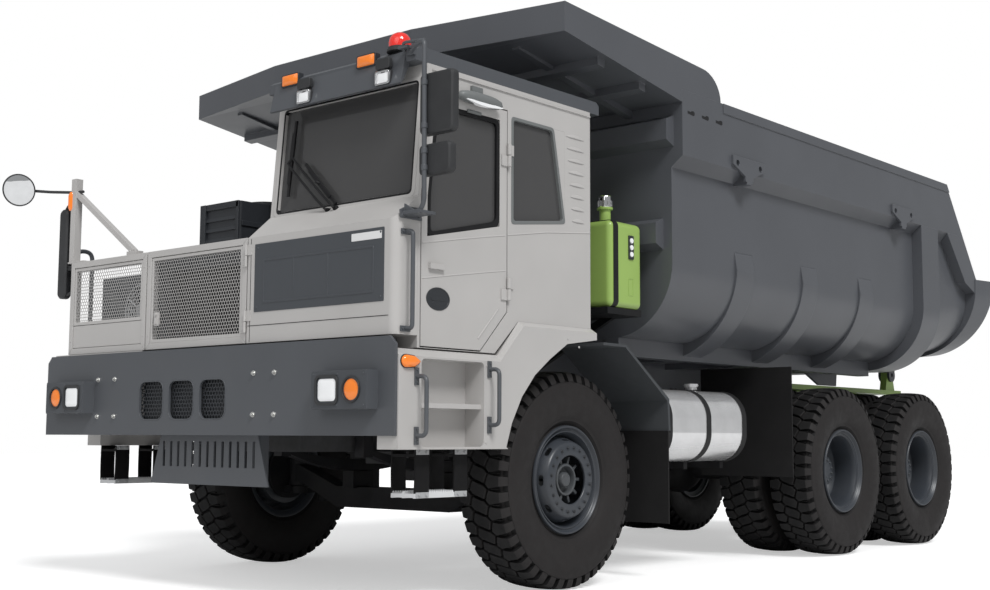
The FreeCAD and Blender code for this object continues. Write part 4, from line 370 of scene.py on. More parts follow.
def paint(name, colour, rough=0.42, edge=0.5, dust=0.12, coat=0.0, round_edge=0.0035, gloss=0.5):
    """Sprayed paint: faint tone drift, orange peel, lighter edges that are partly rubbed paint and partly a painted
    highlight, dust low down, softened edges.
    """
    n = Nodes(name)
    tone = n.cloud(1.7, 2.5, 0.5, (0.30, scaled(colour, 0.96)), (0.70, scaled(colour, 1.035)))
    tone = n.mix(n.cloud(46.0, 3.0, 0.6, (0.40, 0.0), (0.80, 0.02)), tone, scaled(colour, 1.15))
    bevel = n.soft_edge(round_edge)
    turn = n.new("VectorMath", {0: bevel, 1: n.new("NewGeometry").outputs["Normal"]}, operation="DOT_PRODUCT")
    # lighter edges: rubbed paint wear mixed with a painted highlight along each rounded edge
    edge_wear_and_highlight = n.math("MULTIPLY", n.ramp(turn.outputs["Value"], (0.82, 1.0), (0.985, 0.0)),
                  n.cloud(9.0, 5.0, 0.7, (0.35, 0.0), (0.60, edge)))
    tone = n.mix(edge_wear_and_highlight, tone, scaled(colour, 1.7 if max(colour) < 0.3 else 1.12))
    low_down = n.new("MapRange", {"Value": n.axis(n.coord, 2), "From Min": 0.7, "From Max": 2.6,
                                  "To Min": 1.0, "To Max": 0.0}).outputs[0]
    grime = n.math("MULTIPLY", low_down, n.cloud(1.9, 3.0, 0.5, (0.45, 0.0), (0.75, dust)))
    sheen = n.cloud(3.0, 2.0, 0.5, (0.3, rough - 0.02), (0.7, rough + 0.03))
    return n.finish(Base_Color=n.mix(grime, tone, (0.22, 0.19, 0.155)), Roughness=n.mix(grime, sheen, (0.7, 0.7, 0.7)),
                    Coat_Weight=coat, Coat_Roughness=0.15, Specular_IOR_Level=gloss,
                    Normal=n.bump(n.noise(240.0, 2.0, 0.5), 0.02, 0.0006, bevel))


def rubber(name, colour, dusty, rough=0.62, grain=160.0, wall=None, gloss=0.24, sheet=None):
    """Black rubber with a dusty bloom, a fine grain and lighter edges, partly wear and partly a painted highlight. wall
    is a lighter tone for faces that look sideways: painted light on a tyre's walls, which face the key lamp, against
    its shaded tread; sheet is (x, z, tone) of painted sheet ahead of x and above z."""
    n = Nodes(name)
    tone = n.cloud(5.0, 6.0, 0.65, (0.3, scaled(colour, 0.8)), (0.7, scaled(colour, 1.35)))
    if wall:
        # faces that look sideways get the lighter wall tone: painted light on the tyre's walls
        sideways = n.new("Math", {0: n.axis(n.facing, 1)}, operation="ABSOLUTE").outputs[0]
        tone = n.mix(n.ramp(sideways, (0.45, 0.0), (0.90, 1.0)), tone, wall)
    if sheet:
        at = n.new("SeparateXYZ", {0: n.coord}).outputs
        tone = n.mix(n.math("MULTIPLY", n.math("GREATER_THAN", at[0], sheet[0]),
                            n.math("GREATER_THAN", at[2], sheet[1])), tone, sheet[2])
    tone = n.mix(n.cloud(2.3, 8.0, 0.7, (0.45, 0.0), (0.8, dusty)), tone, (0.060, 0.056, 0.052))
    # lighter edges: partly wear, partly a painted highlight on the lugs' edges
    edge_wear_and_highlight = n.ramp(n.new("NewGeometry").outputs["Pointiness"], (0.53, 0.0), (0.66, 0.25))
    return n.finish(Base_Color=n.mix(edge_wear_and_highlight, tone, (0.055, 0.054, 0.054)), Specular_IOR_Level=gloss,
                    Roughness=n.cloud(12.0, 5.0, 0.6, (0.3, rough - 0.08), (0.7, rough + 0.12)),
                    Normal=n.bump(n.noise(grain, 3.0, 0.6), 0.22, 0.0012))


def plastic(name, colour=(0.03, 0.031, 0.033), rough=0.5, grain=420.0):
    """Moulded plastic with a fine leathery texture."""
    n = Nodes(name)
    cells = n.new("TexVoronoi", {"Scale": grain, "Vector": n.coord}).outputs["Distance"]
    return n.finish(Base_Color=n.cloud(6.0, 5.0, 0.6, (0.3, scaled(colour, 0.86)), (0.7, scaled(colour, 1.16))),
                    Roughness=n.cloud(9.0, 4.0, 0.6, (0.3, rough - 0.07), (0.7, rough + 0.08)),
                    Normal=n.bump(cells, 0.25, 0.0006))


def metal(name, colour, rough, scuff, brushed=(1, 1, 1), dust=0.0, bare=1.0):
    """Bare or plated metal: smears, fine scratches along the brushing, optional dust."""
    n = Nodes(name)
    tone = n.cloud(4.0, 6.0, 0.65, (0.3, scaled(colour, 0.9)), (0.7, scaled(colour, 1.05)))
    if dust:
        tone = n.mix(n.cloud(2.6, 8.0, 0.7, (0.4, 0.0), (0.75, dust)), tone, (0.30, 0.27, 0.23))
    lines = n.noise(30.0, 4.0, 0.7, n.new("Mapping", {"Scale": brushed, "Vector": n.coord}).outputs["Vector"])
    return n.finish(Base_Color=tone, Metallic=bare, Normal=n.bump(lines, 0.06, 0.0005),
                    Roughness=n.ramp(lines, (0.3, max(0.04, rough - scuff * 0.4)), (0.75, rough + scuff)))


def casting(name, colour, rough=0.6):
    """Painted casting: sandy surface with dust and oily patches."""
    n = Nodes(name)
    tone = n.cloud(5.0, 7.0, 0.7, (0.3, scaled(colour, 0.75)), (0.7, scaled(colour, 1.25)))
    tone = n.mix(n.cloud(2.0, 8.0, 0.7, (0.45, 0.0), (0.75, 0.14)), tone, (0.13, 0.115, 0.10))
    return n.finish(Base_Color=tone, Specular_IOR_Level=0.25,
                    Roughness=n.cloud(8.0, 5.0, 0.6, (0.3, rough - 0.12), (0.7, rough + 0.15)),
                    Normal=n.bump(n.noise(130.0, 4.0, 0.6), 0.3, 0.0012, n.soft_edge(0.006)))


def glass_pane(name, tint, through):
    """Tinted safety glass: dark glossy sheet that lets part of the light through, with a faint dust film."""
    n = Nodes(name)
    film = n.cloud(2.4, 8.0, 0.7, (0.4, 0.0), (0.8, 0.16))
    return n.finish(Base_Color=n.mix(film, tint, scaled(tint, 1.4)), Transmission_Weight=through, IOR=1.45,
                    Roughness=n.cloud(5.0, 6.0, 0.7, (0.3, 0.02), (0.8, 0.09)),
                    Normal=n.bump(n.noise(1.3, 2.0, 0.5), 0.02, 0.002))


def lens(name, colour, glow, through, rough=0.12, ribs=90.0):
    """Moulded lamp lens with fine flutes and a faint light of its own."""
    n = Nodes(name)
    flutes = n.wave("Y", ribs)
    tone = n.mix(n.ramp(flutes, (0.2, 0.0), (0.8, 0.25)), colour, scaled(colour, 1.35))
    return n.finish(Base_Color=tone, Roughness=rough, Transmission_Weight=through, IOR=1.49, Coat_Weight=0.6,
                    Coat_Roughness=0.05, Emission_Color=colour, Emission_Strength=glow,
                    Normal=n.bump(flutes, 0.25, 0.001))


def cloth(name, colour):
    """Woven seat cloth: crossed threads, soft sheen and pilling."""
    n = Nodes(name)
    weave = n.math("MAXIMUM", *(n.wave(direction, 300.0, 0.6) for direction in "XY"))
    pilling = n.cloud(14.0, 5.0, 0.6, (0.35, 0.0), (0.75, 0.3))
    tone = n.mix(weave, scaled(colour, 0.6), scaled(colour, 1.25))
    return n.finish(Base_Color=n.mix(pilling, tone, scaled(colour, 1.7)), Roughness=0.9, Sheen_Weight=0.35,
                    Normal=n.bump(weave, 0.5, 0.0008))


M = {
    "slate": paint("slate_paint_look", (0.083, 0.089, 0.099), dust=0.04),
    "slate_body": paint("slate_body_look", (0.092, 0.097, 0.108), rough=0.33, dust=0.07, round_edge=0.006),
    "dark_slate": paint("trim_slate_look", (0.062, 0.068, 0.077), rough=0.40, dust=0.03),
    "mesh": paint("mesh_paint_look", (0.40, 0.39, 0.38), rough=0.40, dust=0.04, round_edge=0.0005),
    "grey": paint("light_grey_look", (0.50, 0.487, 0.475), rough=0.36, edge=0.25, dust=0.10, coat=0.1),
    "green": paint("green_paint_look", (0.335, 0.50, 0.125), rough=0.34, edge=0.3, coat=0.15),
    "dark": paint("dark_trim_look", (0.026, 0.029, 0.034), dust=0.05),
    # frame paint: partly its own dark paint, partly painted shade, kept near black for the shade under the truck
    "frame": paint("frame_paint_look", (0.010, 0.0105, 0.0115), rough=0.52, dust=0.07, gloss=0.20),
    "rim": paint("rim_paint_look", (0.043, 0.049, 0.059), rough=0.36, dust=0.06),
    "bracket": paint("bracket_paint_look", (0.17, 0.18, 0.18), rough=0.45, dust=0.2),
    # the walls' lighter tone is painted light, and the tread is kept darker as painted shade
    "tyre": rubber("tyre_rubber_look", (0.0095, 0.0092, 0.0096), wall=(0.0215, 0.0195, 0.0195), dusty=0.10),
    "flap": rubber("flap_rubber_look", (0.0070, 0.0068, 0.0072), dusty=0.04, grain=90.0, gloss=0.15,
                   sheet=(0.0, 1.088, (0.070, 0.076, 0.082))),
    "seal": rubber("seal_rubber_look", (0.010, 0.010, 0.011), rough=0.50, dusty=0.05, grain=300.0),
    "plastic": plastic("textured_plastic_look"),
    "dash": plastic("dash_plastic_look", (0.055, 0.056, 0.058), rough=0.6, grain=700.0),
    "chrome": metal("chrome_look", (0.86, 0.86, 0.87), rough=0.08, scuff=0.06),
    "tank": metal("polished_tank_look", (0.93, 0.93, 0.935), rough=0.13, brushed=(9, 1, 1), scuff=0.06,
                  dust=0.03, bare=0.72),
    "rod": metal("hard_chrome_look", (0.70, 0.70, 0.71), rough=0.12, brushed=(8, 8, 1), scuff=0.08),
    "zinc": metal("zinc_bolt_look", (0.72, 0.72, 0.70), rough=0.32, scuff=0.15, dust=0.1),
    "mirror": metal("mirror_glass_look", (0.92, 0.93, 0.94), rough=0.01, scuff=0.012),
    "iron": casting("axle_casting_look", (0.013, 0.013, 0.0145)),
    "engine": casting("engine_casting_look", (0.07, 0.07, 0.072)),
    "spring": casting("spring_leaf_look", (0.018, 0.018, 0.020), rough=0.55),
    "core": casting("radiator_core_look", (0.022, 0.022, 0.023), rough=0.65),
    "glass": glass_pane("cab_glass_look", (0.105, 0.104, 0.105), through=0.36),
    "orange": lens("orange_lens_look", (0.95, 0.23, 0.022), glow=0.22, through=0.15),
    "red": lens("red_lens_look", (0.88, 0.035, 0.025), glow=0.15, through=0.2),
    "clear": lens("clear_lens_look", (0.86, 0.87, 0.88), glow=0.28, through=0.2, rough=0.06, ribs=60.0),
    "handle": paint("handle_paint_look", (0.085, 0.092, 0.102), rough=0.38, dust=0.08, round_edge=0.001),
    "white_steel": paint("step_tread_look", (0.68, 0.69, 0.70), rough=0.40, edge=0.3, dust=0.15, round_edge=0.001),
    "bracket_light": paint("step_bracket_look", (0.42, 0.43, 0.44), dust=0.2, round_edge=0.001),
    "hub": paint("hub_iron_look", (0.066, 0.073, 0.080), round_edge=0.002),
    "white": paint("blank_plate_look", (0.80, 0.80, 0.80), rough=0.4, edge=0.1, dust=0.05),
    "seat": cloth("seat_cloth_look", (0.055, 0.056, 0.06)),
}


# ---------------------------------------------------------------- tyres
TYRE_R = WHEEL_Z                  # outer radius: the tyre stands on the floor
TREAD_HALF = 0.171
EDGE_DROP = 0.0115                # fall of the tread from its middle to its edge
FLOOR_R = TYRE_R - 0.034          # floor of the grooves
PITCHES = 44
PITCH_M = 0.107                   # length of one pitch on the tread
GROOVE_U, GROOVE_Y = 0.092, 0.0098    # half the groove between blocks: across in pitches, along in metres
SKEW = 0.30                       # how far a middle block leans over its width, in pitches
LIP = 0.0035                      # chamfer round a block
SECTION_HALF = 0.215
SIDE_POINTS = [(0.189, 0.700), (0.215, 0.536), (0.150, 0.372)]     # the sidewall's arc: (y, radius)


def arc_through(a, b, c):
    """Centre and radius of the circle through three points."""
    ax, ay, bx, by, cx, cy = *a, *b, *c
    d = 2 * (ax * (by - cy) + bx * (cy - ay) + cx * (ay - by))
    aa, bb, cc = ax * ax + ay * ay, bx * bx + by * by, cx * cx + cy * cy
    ux = (aa * (by - cy) + bb * (cy - ay) + cc * (ay - by)) / d
    uy = (aa * (cx - bx) + bb * (ax - cx) + cc * (bx - ax)) / d
    return ux, uy, math.hypot(ax - ux, ay - uy)


SIDE_CY, SIDE_CR, SIDE_RAD = arc_through(*SIDE_POINTS)


def side_y(r):
    return SIDE_CY + math.sqrt(max(0.0, SIDE_RAD ** 2 - (r - SIDE_CR) ** 2))


def crown(y):
    """Radius of the tread surface at y from the tyre's middle."""
    return TYRE_R - EDGE_DROP * (y / TREAD_HALF) ** 2


def zigzag(u):
    """Edge of the centre blocks: runs out over most of a pitch, then back."""
    u = u % 1.0
    inner, outer, turn = 0.056, 0.080, 0.68
    return inner + (outer - inner) * (u / turn if u < turn else (1 - u) / (1 - turn))


# side lug across its width: how far each end draws in, distance from the middle, radius, depth of its wall,
# then its rounded edge drawn in and down, and the wall's foot drawn in
LUG_COLUMNS = [(0.095, None, None, 0.0, 0.0025, LIP, 0.005), (0.125, 0.105, None, 0.002, 0.0, LIP, 0.0),
               (0.190, 0.140, None, 0.006, 0.0, LIP, 0.0),
               (0.228, 0.1695, TYRE_R - EDGE_DROP - 0.001, 0.012, 0.002, LIP, 0.016),
               (0.233, 0.1795, 0.7235, 0.0275, 0.002, LIP, 0.016), (0.238, 0.1895, 0.7000, 0.0360, 0.002, LIP, 0.016),
               (0.243, side_y(0.674) - 0.0005, 0.674, 0.0525, 0.002, 0.0, 0.006)]


def raised_grid(b, rows, top, edge, foot):
    """Block over a grid of points: its top, the chamfer round it and its walls. Each function places a point."""
    n, m = len(rows), len(rows[0])
    border = [(0, j) for j in range(m)] + [(i, m - 1) for i in range(1, n)]
    border += [(n - 1, j) for j in range(m - 2, -1, -1)] + [(i, 0) for i in range(n - 2, 0, -1)]
    verts = [top(rows[i][j], i, j) for i in range(n) for j in range(m)]
    verts += [place(rows[i][j], i, j) for place in (edge, foot) for i, j in border]
    faces = [[i * m + j, i * m + j + 1, i * m + m + j + 1, i * m + m + j] for i in range(n - 1) for j in range(m - 1)]
    k = len(border)
    rim = [i * m + j for i, j in border]
    loops = [rim, [n * m + s for s in range(k)], [n * m + k + s for s in range(k)]]
    for a, c in zip(loops, loops[1:]):
        faces += [[a[s - 1], c[s - 1], c[s], a[s]] for s in range(k)]
    b.faces(verts, faces)


def tread_block(b, rows, place):
    """Middle block; rows of (u, y)."""
    n, m = len(rows), len(rows[0])
    cu, cy = (sum(p[i] for row in rows for p in row) / (n * m) for i in (0, 1))

    def at(p, grow, r):
        du, dy = p[0] - cu, p[1] - cy
        k = grow / (math.hypot(du * PITCH_M, dy) or 1.0)
        return place(p[0] + du * k, p[1] + dy * k, r)
    raised_grid(b, rows,
                lambda p, i, j: at(p, -LIP if i in (0, n - 1) or j in (0, m - 1) else 0.0, crown(p[1])),
                lambda p, i, j: at(p, 0.0, crown(p[1]) - LIP), lambda p, i, j: at(p, 0.003, FLOOR_R))


def shoulder_lug(b, rows, place):
    """Side lug; rows of (u, y, radius, depth of its wall). It bends over the shoulder, down into the carcass."""
    last = len(rows) - 1
    mid_u = sum(row[0][0] for row in rows) / len(rows)

    def at(p, i, grow, inward, r):
        u, away = p[0], p[0] - mid_u
        if i in (0, last) and abs(away) > 0.2:
            u += math.copysign(grow / PITCH_M, away)
        return place(u, p[1] - math.copysign(inward, p[1]), r)
    raised_grid(b, rows, lambda p, i, j: at(p, i, -LIP, 0.0, p[2]),
                lambda p, i, j: at(p, i, 0.0, LUG_COLUMNS[j][4], p[2] - LUG_COLUMNS[j][5]),
                lambda p, i, j: at(p, i, 0.003, LUG_COLUMNS[j][6], FLOOR_R - p[3]))


def lug_rows():
    """One side lug on the left of the tread, from u = 0.68 to 1.68."""
    rows = []
    for u in (0.68, 1.0, 1.34, 1.68):
        row = []
        for flare, y, r, depth, *_ in LUG_COLUMNS:
            y = zigzag(u) + GROOVE_Y if y is None else y
            end = {0.68: 0.68 + flare, 1.68: 1.68 - flare}.get(u, min(1.40, u))
            row.append((end, y, crown(y) if r is None else r, depth))
        rows.append(row)
    return rows


def block_rows():
    """One middle block; its left and right edges follow the two zigzags."""
    rows = []
    for u in (0.0, 0.32, 0.68, 1.0):
        right, left = zigzag(u) - GROOVE_Y, GROOVE_Y - zigzag(1 - u)
        rows.append([(min(1 - GROOVE_U, max(GROOVE_U, u)) + SKEW * (0.5 - t), left + (right - left) * t)
                     for t in (0.0, 0.35, 0.65, 1.0)])
    return rows


def carcass():
    """Closed section of the tyre under its blocks: (y, radius)."""
    half = [(0.0, FLOOR_R), (0.06, FLOOR_R), (0.12, FLOOR_R - 0.004), (0.156, FLOOR_R - 0.016),
            (0.164, 0.680), (side_y(0.668) - 0.004, 0.668)]
    radii = (0.655, 0.652, 0.640, 0.620, 0.590, 0.560, 0.530, 0.500, 0.470, 0.445, 0.425, 0.412, 0.404, 0.396, 0.386,
             0.376)
    dips = {0.640: 0.0015, 0.412: 0.003, 0.396: 0.004, 0.386: 0.008, 0.376: 0.008}     # grooves at the bead and rim
    half += [(side_y(r) - 0.001 - dips.get(r, 0.0), r) for r in radii] + [(0.150, 0.366), (0.146, 0.330)]
    return half + [(-y, r) for y, r in reversed(half[1:])]


def add_tyre(b, centre, outward):
    """Cross-country haul tyre: smooth round sidewalls, side lugs, and a row of six-sided middle blocks."""
    def place(u, y, r):
        a = u * 2 * PI / PITCHES
        return Vector(centre) + Vector((r * math.cos(a), y * outward, r * math.sin(a)))
    b.lathe(carcass(), centre, sides=132)
    blocks, lugs = block_rows(), lug_rows()
    for k in range(PITCHES):
        tread_block(b, [[(k + u, y) for u, y in row] for row in blocks], place)
        for side in (1, -1):
            start = k - SKEW / 2 if side > 0 else k + 1 + SKEW / 2
            shoulder_lug(b, [[(start + side * u, side * y, r, depth) for u, y, r, depth in row] for row in lugs],
                         place)
            # tie bar that stands in the groove between two lugs
            u, y0, y1 = start + side * 0.68, side * 0.098, side * 0.150
            bar = [(u - 0.022, y0), (u + 0.022, y0), (u + 0.022, y1), (u - 0.022, y1)]
            b.skin([[place(*p, r) for p in bar] for r in (FLOOR_R - 0.014, FLOOR_R + 0.009)])


def pair_y(node):
    """Distances of the outer and the inner tyre's middle from the truck's centre line."""
    ends = abs(low(node)[1]), abs(high(node)[1])
    return max(ends) - SECTION_HALF, min(ends) + SECTION_HALF


def make_tyres():
    for label, side in SIDES:
        b = Build()
        add_tyre(b, (AXLE_X, side * FRONT_WHEEL_Y, WHEEL_Z), side)
        b.done("front_%s_tyre_tread" % label, "tyre", "tyre_rubber", "front_%s_wheel" % label, angle=28,
               replaces=["front_%s_tyre" % label])
        for number, x in REAR_X.items():
            node = "rear_%s_%d_tyres" % (label, number)
            for y, facing in zip(pair_y(node), (side, -side)):
                add_tyre(b, (x, side * y, WHEEL_Z), facing)
            b.done("rear_%s_%d_tyre_treads" % (label, number), "tyre", "tyre_rubber",
                   "rear_%s_wheels_%d" % (label, number), angle=28, replaces=[node])


# ---------------------------------------------------------------- rims and hubs
# Profiles are (distance outboard of the wheel's middle, radius).
FLANGE_R, FLANGE_OUT, BARREL_R = 0.372, 0.168, 0.304
FRONT_BARREL = [
    (-FLANGE_OUT, FLANGE_R), (-0.160, FLANGE_R), (-0.152, 0.352), (-0.140, 0.321), (0.140, 0.321), (0.152, 0.352),
    (0.158, FLANGE_R), (FLANGE_OUT, FLANGE_R - 0.001), (0.1745, 0.366), (0.1750, 0.359), (0.170, 0.353),
    (0.160, 0.349), (0.152, 0.342), (0.150, 0.336), (0.157, 0.333), (0.158, 0.327), (0.150, 0.322), (0.135, 0.318),
    (0.120, 0.308), (0.085, BARREL_R), (-0.110, BARREL_R), (-0.150, 0.330), (-0.168, 0.360)]
DISC_Y = 0.196
FRONT_DISC = [
    (DISC_Y, 0.170), (DISC_Y, 0.238), (DISC_Y - 0.004, 0.250), (DISC_Y - 0.014, 0.260), (0.120, 0.285),
    (0.085, 0.297), (0.070, 0.3045), (0.050, 0.3045), (0.066, 0.288), (0.104, 0.270), (DISC_Y - 0.030, 0.250),
    (DISC_Y - 0.018, 0.238), (DISC_Y - 0.018, 0.170), (DISC_Y - 0.014, 0.166), (DISC_Y - 0.004, 0.166)]
FRONT_HUB = [
    (-0.165, 0.075), (-0.165, 0.255), (-0.060, 0.255), (-0.050, 0.235), (0.020, 0.225), (0.040, 0.205),
    (0.046, 0.160), (0.052, 0.118), (0.120, 0.112), (0.152, 0.110), (0.158, 0.106), (0.158, 0.094), (0.150, 0.090),
    (0.106, 0.088), (0.104, 0.066), (0.104, 0.0), (-0.05, 0.0), (-0.05, 0.075)]
HUB_CAP = [(0.100, 0.0), (0.100, 0.056), (0.146, 0.052), (0.156, 0.045), (0.159, 0.036), (0.156, 0.030), (0.156, 0.0)]
REAR_BARREL = [
    (-FLANGE_OUT, FLANGE_R), (-0.152, 0.352), (-0.140, 0.321), (0.140, 0.321), (0.152, 0.352), (0.158, FLANGE_R),
    (FLANGE_OUT, FLANGE_R - 0.001), (0.1745, 0.366), (0.1750, 0.358), (0.168, 0.352), (0.156, 0.348), (0.150, 0.341),
    (0.152, 0.335), (0.146, 0.330), (0.138, 0.328), (0.134, 0.316), (0.112, 0.308), (0.085, BARREL_R),
    (-0.110, BARREL_R), (-0.150, 0.330)]
REAR_DISC = [(-0.168, 0.150), (-0.168, 0.262), (-0.140, 0.286), (-0.085, 0.3045), (-0.066, 0.3045), (-0.122, 0.282),
             (-0.150, 0.258), (-0.150, 0.150)]
REAR_HUB = [(-0.66, 0.0), (-0.66, 0.160), (-0.135, 0.168), (-0.120, 0.150), (-0.060, 0.136), (-0.012, 0.132),
            (-0.004, 0.126), (0.0, 0.112), (0.0, 0.064), (0.004, 0.060), (0.004, 0.0)]


def cut_out(obj, cutter):
    """Takes the cutter's volume out of obj for good and drops the cutter."""
    mod = obj.modifiers.new("cut", "BOOLEAN")
    mod.object, mod.operation, mod.solver = cutter, "DIFFERENCE", "EXACT"
    mesh = bpy.data.meshes.new_from_object(obj.evaluated_get(bpy.context.evaluated_depsgraph_get()))
    obj.modifiers.clear()
    spent = obj.data, cutter.data
    obj.data = mesh
    bpy.data.objects.remove(cutter)
    for old in spent:
        bpy.data.meshes.remove(old)
    mesh.set_sharp_from_angle(angle=math.radians(35))


def nut(b, at, out, *stages):
    """Flanged nut and its stud's end: stages of (from, to, radius, radius, sides) along out."""
    for d0, d1, r0, r1, sides in stages:
        b.rod(at + out * d0, at + out * d1, r0, r1, sides=sides, smooth=sides != 6)


def stud_circle(centre, y, count, radius):
    return [centre + Vector((u, y, v)) for u, v in circle(count, radius, 0.5)]


def spokes(count):
    """Radial and tangent directions round a wheel."""
    return [(Vector((c, 0, s)), Vector((-s, 0, c))) for c, s in circle(count)]


def front_rim(label, side):
    centre, out = Vector((AXLE_X, side * FRONT_WHEEL_Y, WHEEL_Z)), Vector((0, side, 0))
    body = "front_%s_wheel" % label
    b = Build()
    for profile in (FRONT_BARREL, FRONT_DISC):
        b.lathe(profile, centre, sides=96, out=side)
    obj = b.done("front_%s_rim_shell" % label, "rim", "rim_grey", body, replaces=["front_%s_rim" % label])
    for radial, tangent in spokes(8):
        lean = (radial + out * 0.55).normalized()
        flat, mid = tangent.cross(lean), centre + radial * 0.272 + out * 0.150
        b.skin([[mid + lean * d + tangent * u + flat * v for u, v in rounded(-0.037, 0.037, -0.017, 0.017, 0.0165, 4)]
                for d in (-0.05, 0.05)])
    cut_out(obj, b.plain("hand_holes"))
    for at in stud_circle(centre, side * DISC_Y, 20, 0.2185):
        nut(b, at, out, (-0.002, 0.003, 0.0120, 0.0112, 16), (0.002, 0.0110, 0.0095, 0.0090, 6),
            (0.0105, 0.0140, 0.0055, 0.0046, 10))
    b.done("front_%s_wheel_nuts" % label, "dark", "rim_grey", body, angle=40)
    # hub inside the opening: drum face and bearing barrel, cap, ribs and bolts
    b.lathe(FRONT_HUB, centre, out=side)
    b.lathe(HUB_CAP, centre, sides=40, out=side)
    for radial, tangent in spokes(10):
        b.block(centre + radial * 0.136 + out * 0.098, (0.056, 0.090, 0.020),
                Matrix((radial, out, tangent)).transposed())
    for at in stud_circle(centre, side * 0.104, 6, 0.072):
        b.bolt(at, out, 0.0075, 0.009)
    b.done("front_%s_hub" % label, "hub", "rim_grey", body, angle=32, bevel=0.002)


def rear_rims(label, side, number, x):
    body = "rear_%s_wheels_%d" % (label, number)
    ys = pair_y("rear_%s_%d_tyres" % (label, number))
    centre, out = Vector((x, side * ys[0], WHEEL_Z)), Vector((0, side, 0))
    b = Build()
    for y, facing in zip(ys, (side, -side)):
        for profile in (REAR_BARREL, REAR_DISC):
            b.lathe(profile, (x, side * y, WHEEL_Z), sides=84, out=facing)
    b.lathe(REAR_HUB, centre, sides=56, out=side)
    b.done("rear_%s_%d_rim_shells" % (label, number), "rim", "rim_grey", body,
           replaces=["rear_%s_%d_rims" % (label, number)])
    for at in stud_circle(centre, side * -0.152, 20, 0.215):
        nut(b, at, out, (-0.002, 0.005, 0.0150, 0.0135, 12), (0.004, 0.019, 0.0125, 0.0118, 6),
            (0.018, 0.029, 0.0075, 0.0065, 8))
    for at in stud_circle(centre, 0, 12, 0.094):
        b.bolt(at, out, 0.0085, 0.010)
    b.done("rear_%s_%d_wheel_nuts" % (label, number), "hub", "rim_grey", body, angle=40)


def make_rims():
    for label, side in SIDES:
        front_rim(label, side)
        for number, x in REAR_X.items():
            rear_rims(label, side, number, x)


# ---------------------------------------------------------------- front mesh panels
PANEL_BORDER = 0.070
PANEL_STEP = 0.046                # width of the outer bars


def mesh_sheet(b, u0, u1, v0, v1, at, pitch=0.0262, hole=0.0122, wall=0.0016):
    """Sheet perforated with hexagonal holes, drawn as one cell round each; hole is the hexagon's radius."""
    row, cell = pitch * math.sqrt(3) / 2, pitch / math.sqrt(3)
    rows, cols = int((v1 - v0) / row), int((u1 - u0) / pitch)
    for j in range(rows + 1):
        v = v0 + j * row + 0.5 * ((v1 - v0) - rows * row)
        for i in range(cols + 1):
            u = u0 + (i + 0.5 * (j % 2)) * pitch + 0.5 * ((u1 - u0) - cols * pitch)
            if u0 - 0.002 < u < u1 + 0.002 and v0 - 0.002 < v < v1 + 0.002:
                b.skin([[at(u + c, v + s, d) for c, s in circle(6, r, 0.5)] for r, d in
                        ((cell, 0.0), (hole, 0.0), (hole, -wall), (cell, -wall))], False, None)


def corners(u0, u1, v0, v1, inset=0.0):
    """Corners of a rectangle, drawn in by the inset."""
    i = inset
    return [(u0 + i, v0 + i), (u1 - i, v0 + i), (u1 - i, v1 - i), (u0 + i, v1 - i)]


def rivet(b, at, length, r0, r1, sides=12):
    """Round head that faces forward."""
    b.rod(at, Vector(at) + FORWARD * length, r0, r1, sides=sides)


def make_panel(node, label, body, solid):
    """Framed mesh panel; solid is the height of the closed plate under its mesh."""
    lo, hi = low(node), high(node)
    door = body == "radiator_door"
    x1 = low("outer_deck_panel")[0] + 0.050
    y0, y1, z0, z1 = lo[1], hi[1] - (0.015 if door else 0.0), lo[2], hi[2]
    foot = z0 + PANEL_BORDER + solid
    b = Build()
    # four mitred bars with fine seams between them
    outer, bars = corners(y0, y1, z0, z1), corners(y0, y1, z0, z1, PANEL_STEP)
    for k in range(4):
        b.prism(grown([outer[k - 1], outer[k], bars[k], bars[k - 1]], -0.0006), "x", x1 - 0.050, x1)
    # inner frame that clamps the mesh, set back a little, and the hidden carrier that joins the bars
    edge, rim = PANEL_STEP + 0.003, PANEL_BORDER
    hole = corners(y0 + rim, y1 - rim, foot, z1 - rim)
    ring(b, corners(y0 + edge, y1 - edge, foot - 0.024, z1 - edge), hole, on_x(x1 - 0.030), 0.0, 0.026)
    if solid:
        b.box(x1 - 0.026, x1 - 0.006, y0 + edge, y1 - edge, z0 + edge, foot - 0.027)
    ring(b, corners(y0, y1, z0, z1, 0.004), hole, on_x(x1 - 0.046), 0.0, 0.014)
    for u in (y0 + 0.023, y1 - 0.023):
        for v in (z0 + 0.10, z1 - 0.10):
            rivet(b, (x1 - 0.001, u, v), 0.004, 0.0065, 0.0055)
    if door:
        line = hi[1] - 0.009
        for z in (1.700, 2.130):
            b.rod((x1 + 0.012, line, z), (x1 + 0.012, line, z + 0.070), 0.009)
            b.box(x1 - 0.001, x1 + 0.006, y1 - 0.040, line, z, z + 0.070)
            for k in (0.018, 0.052):
                rivet(b, (x1 + 0.005, y1 - 0.025, z + k), 0.004, 0.006, 0.005, 10)
        # slam latch
        b.boxes((x1 - 0.010, x1 + 0.006, y0 + 0.100, y0 + 0.150, 1.795, 1.890),
                (x1 + 0.004, x1 + 0.014, y0 + 0.112, y0 + 0.138, 1.805, 1.850))
        rivet(b, (x1 + 0.004, y0 + 0.125, 1.875), 0.010, 0.012, 0.012, 18)
    b.done(label + "_frame", "grey", "light_grey_paint", body, bevel=0.0022, replaces=[node])
    mesh_sheet(b, y0 + rim - 0.004, y1 - rim + 0.004, foot - 0.004, z1 - rim + 0.004, on_x(x1 - 0.0085))
    b.done(label + "_mesh", "mesh", "light_grey_paint", body)


# ---------------------------------------------------------------- bumper
LAMP_Z, LAMP_HALF_Y, LAMP_HALF_Z = 1.309, 0.240, 0.114
SLOT_Y, SLOT_Z, SLOT_PITCH = -0.186, 1.277, 0.338


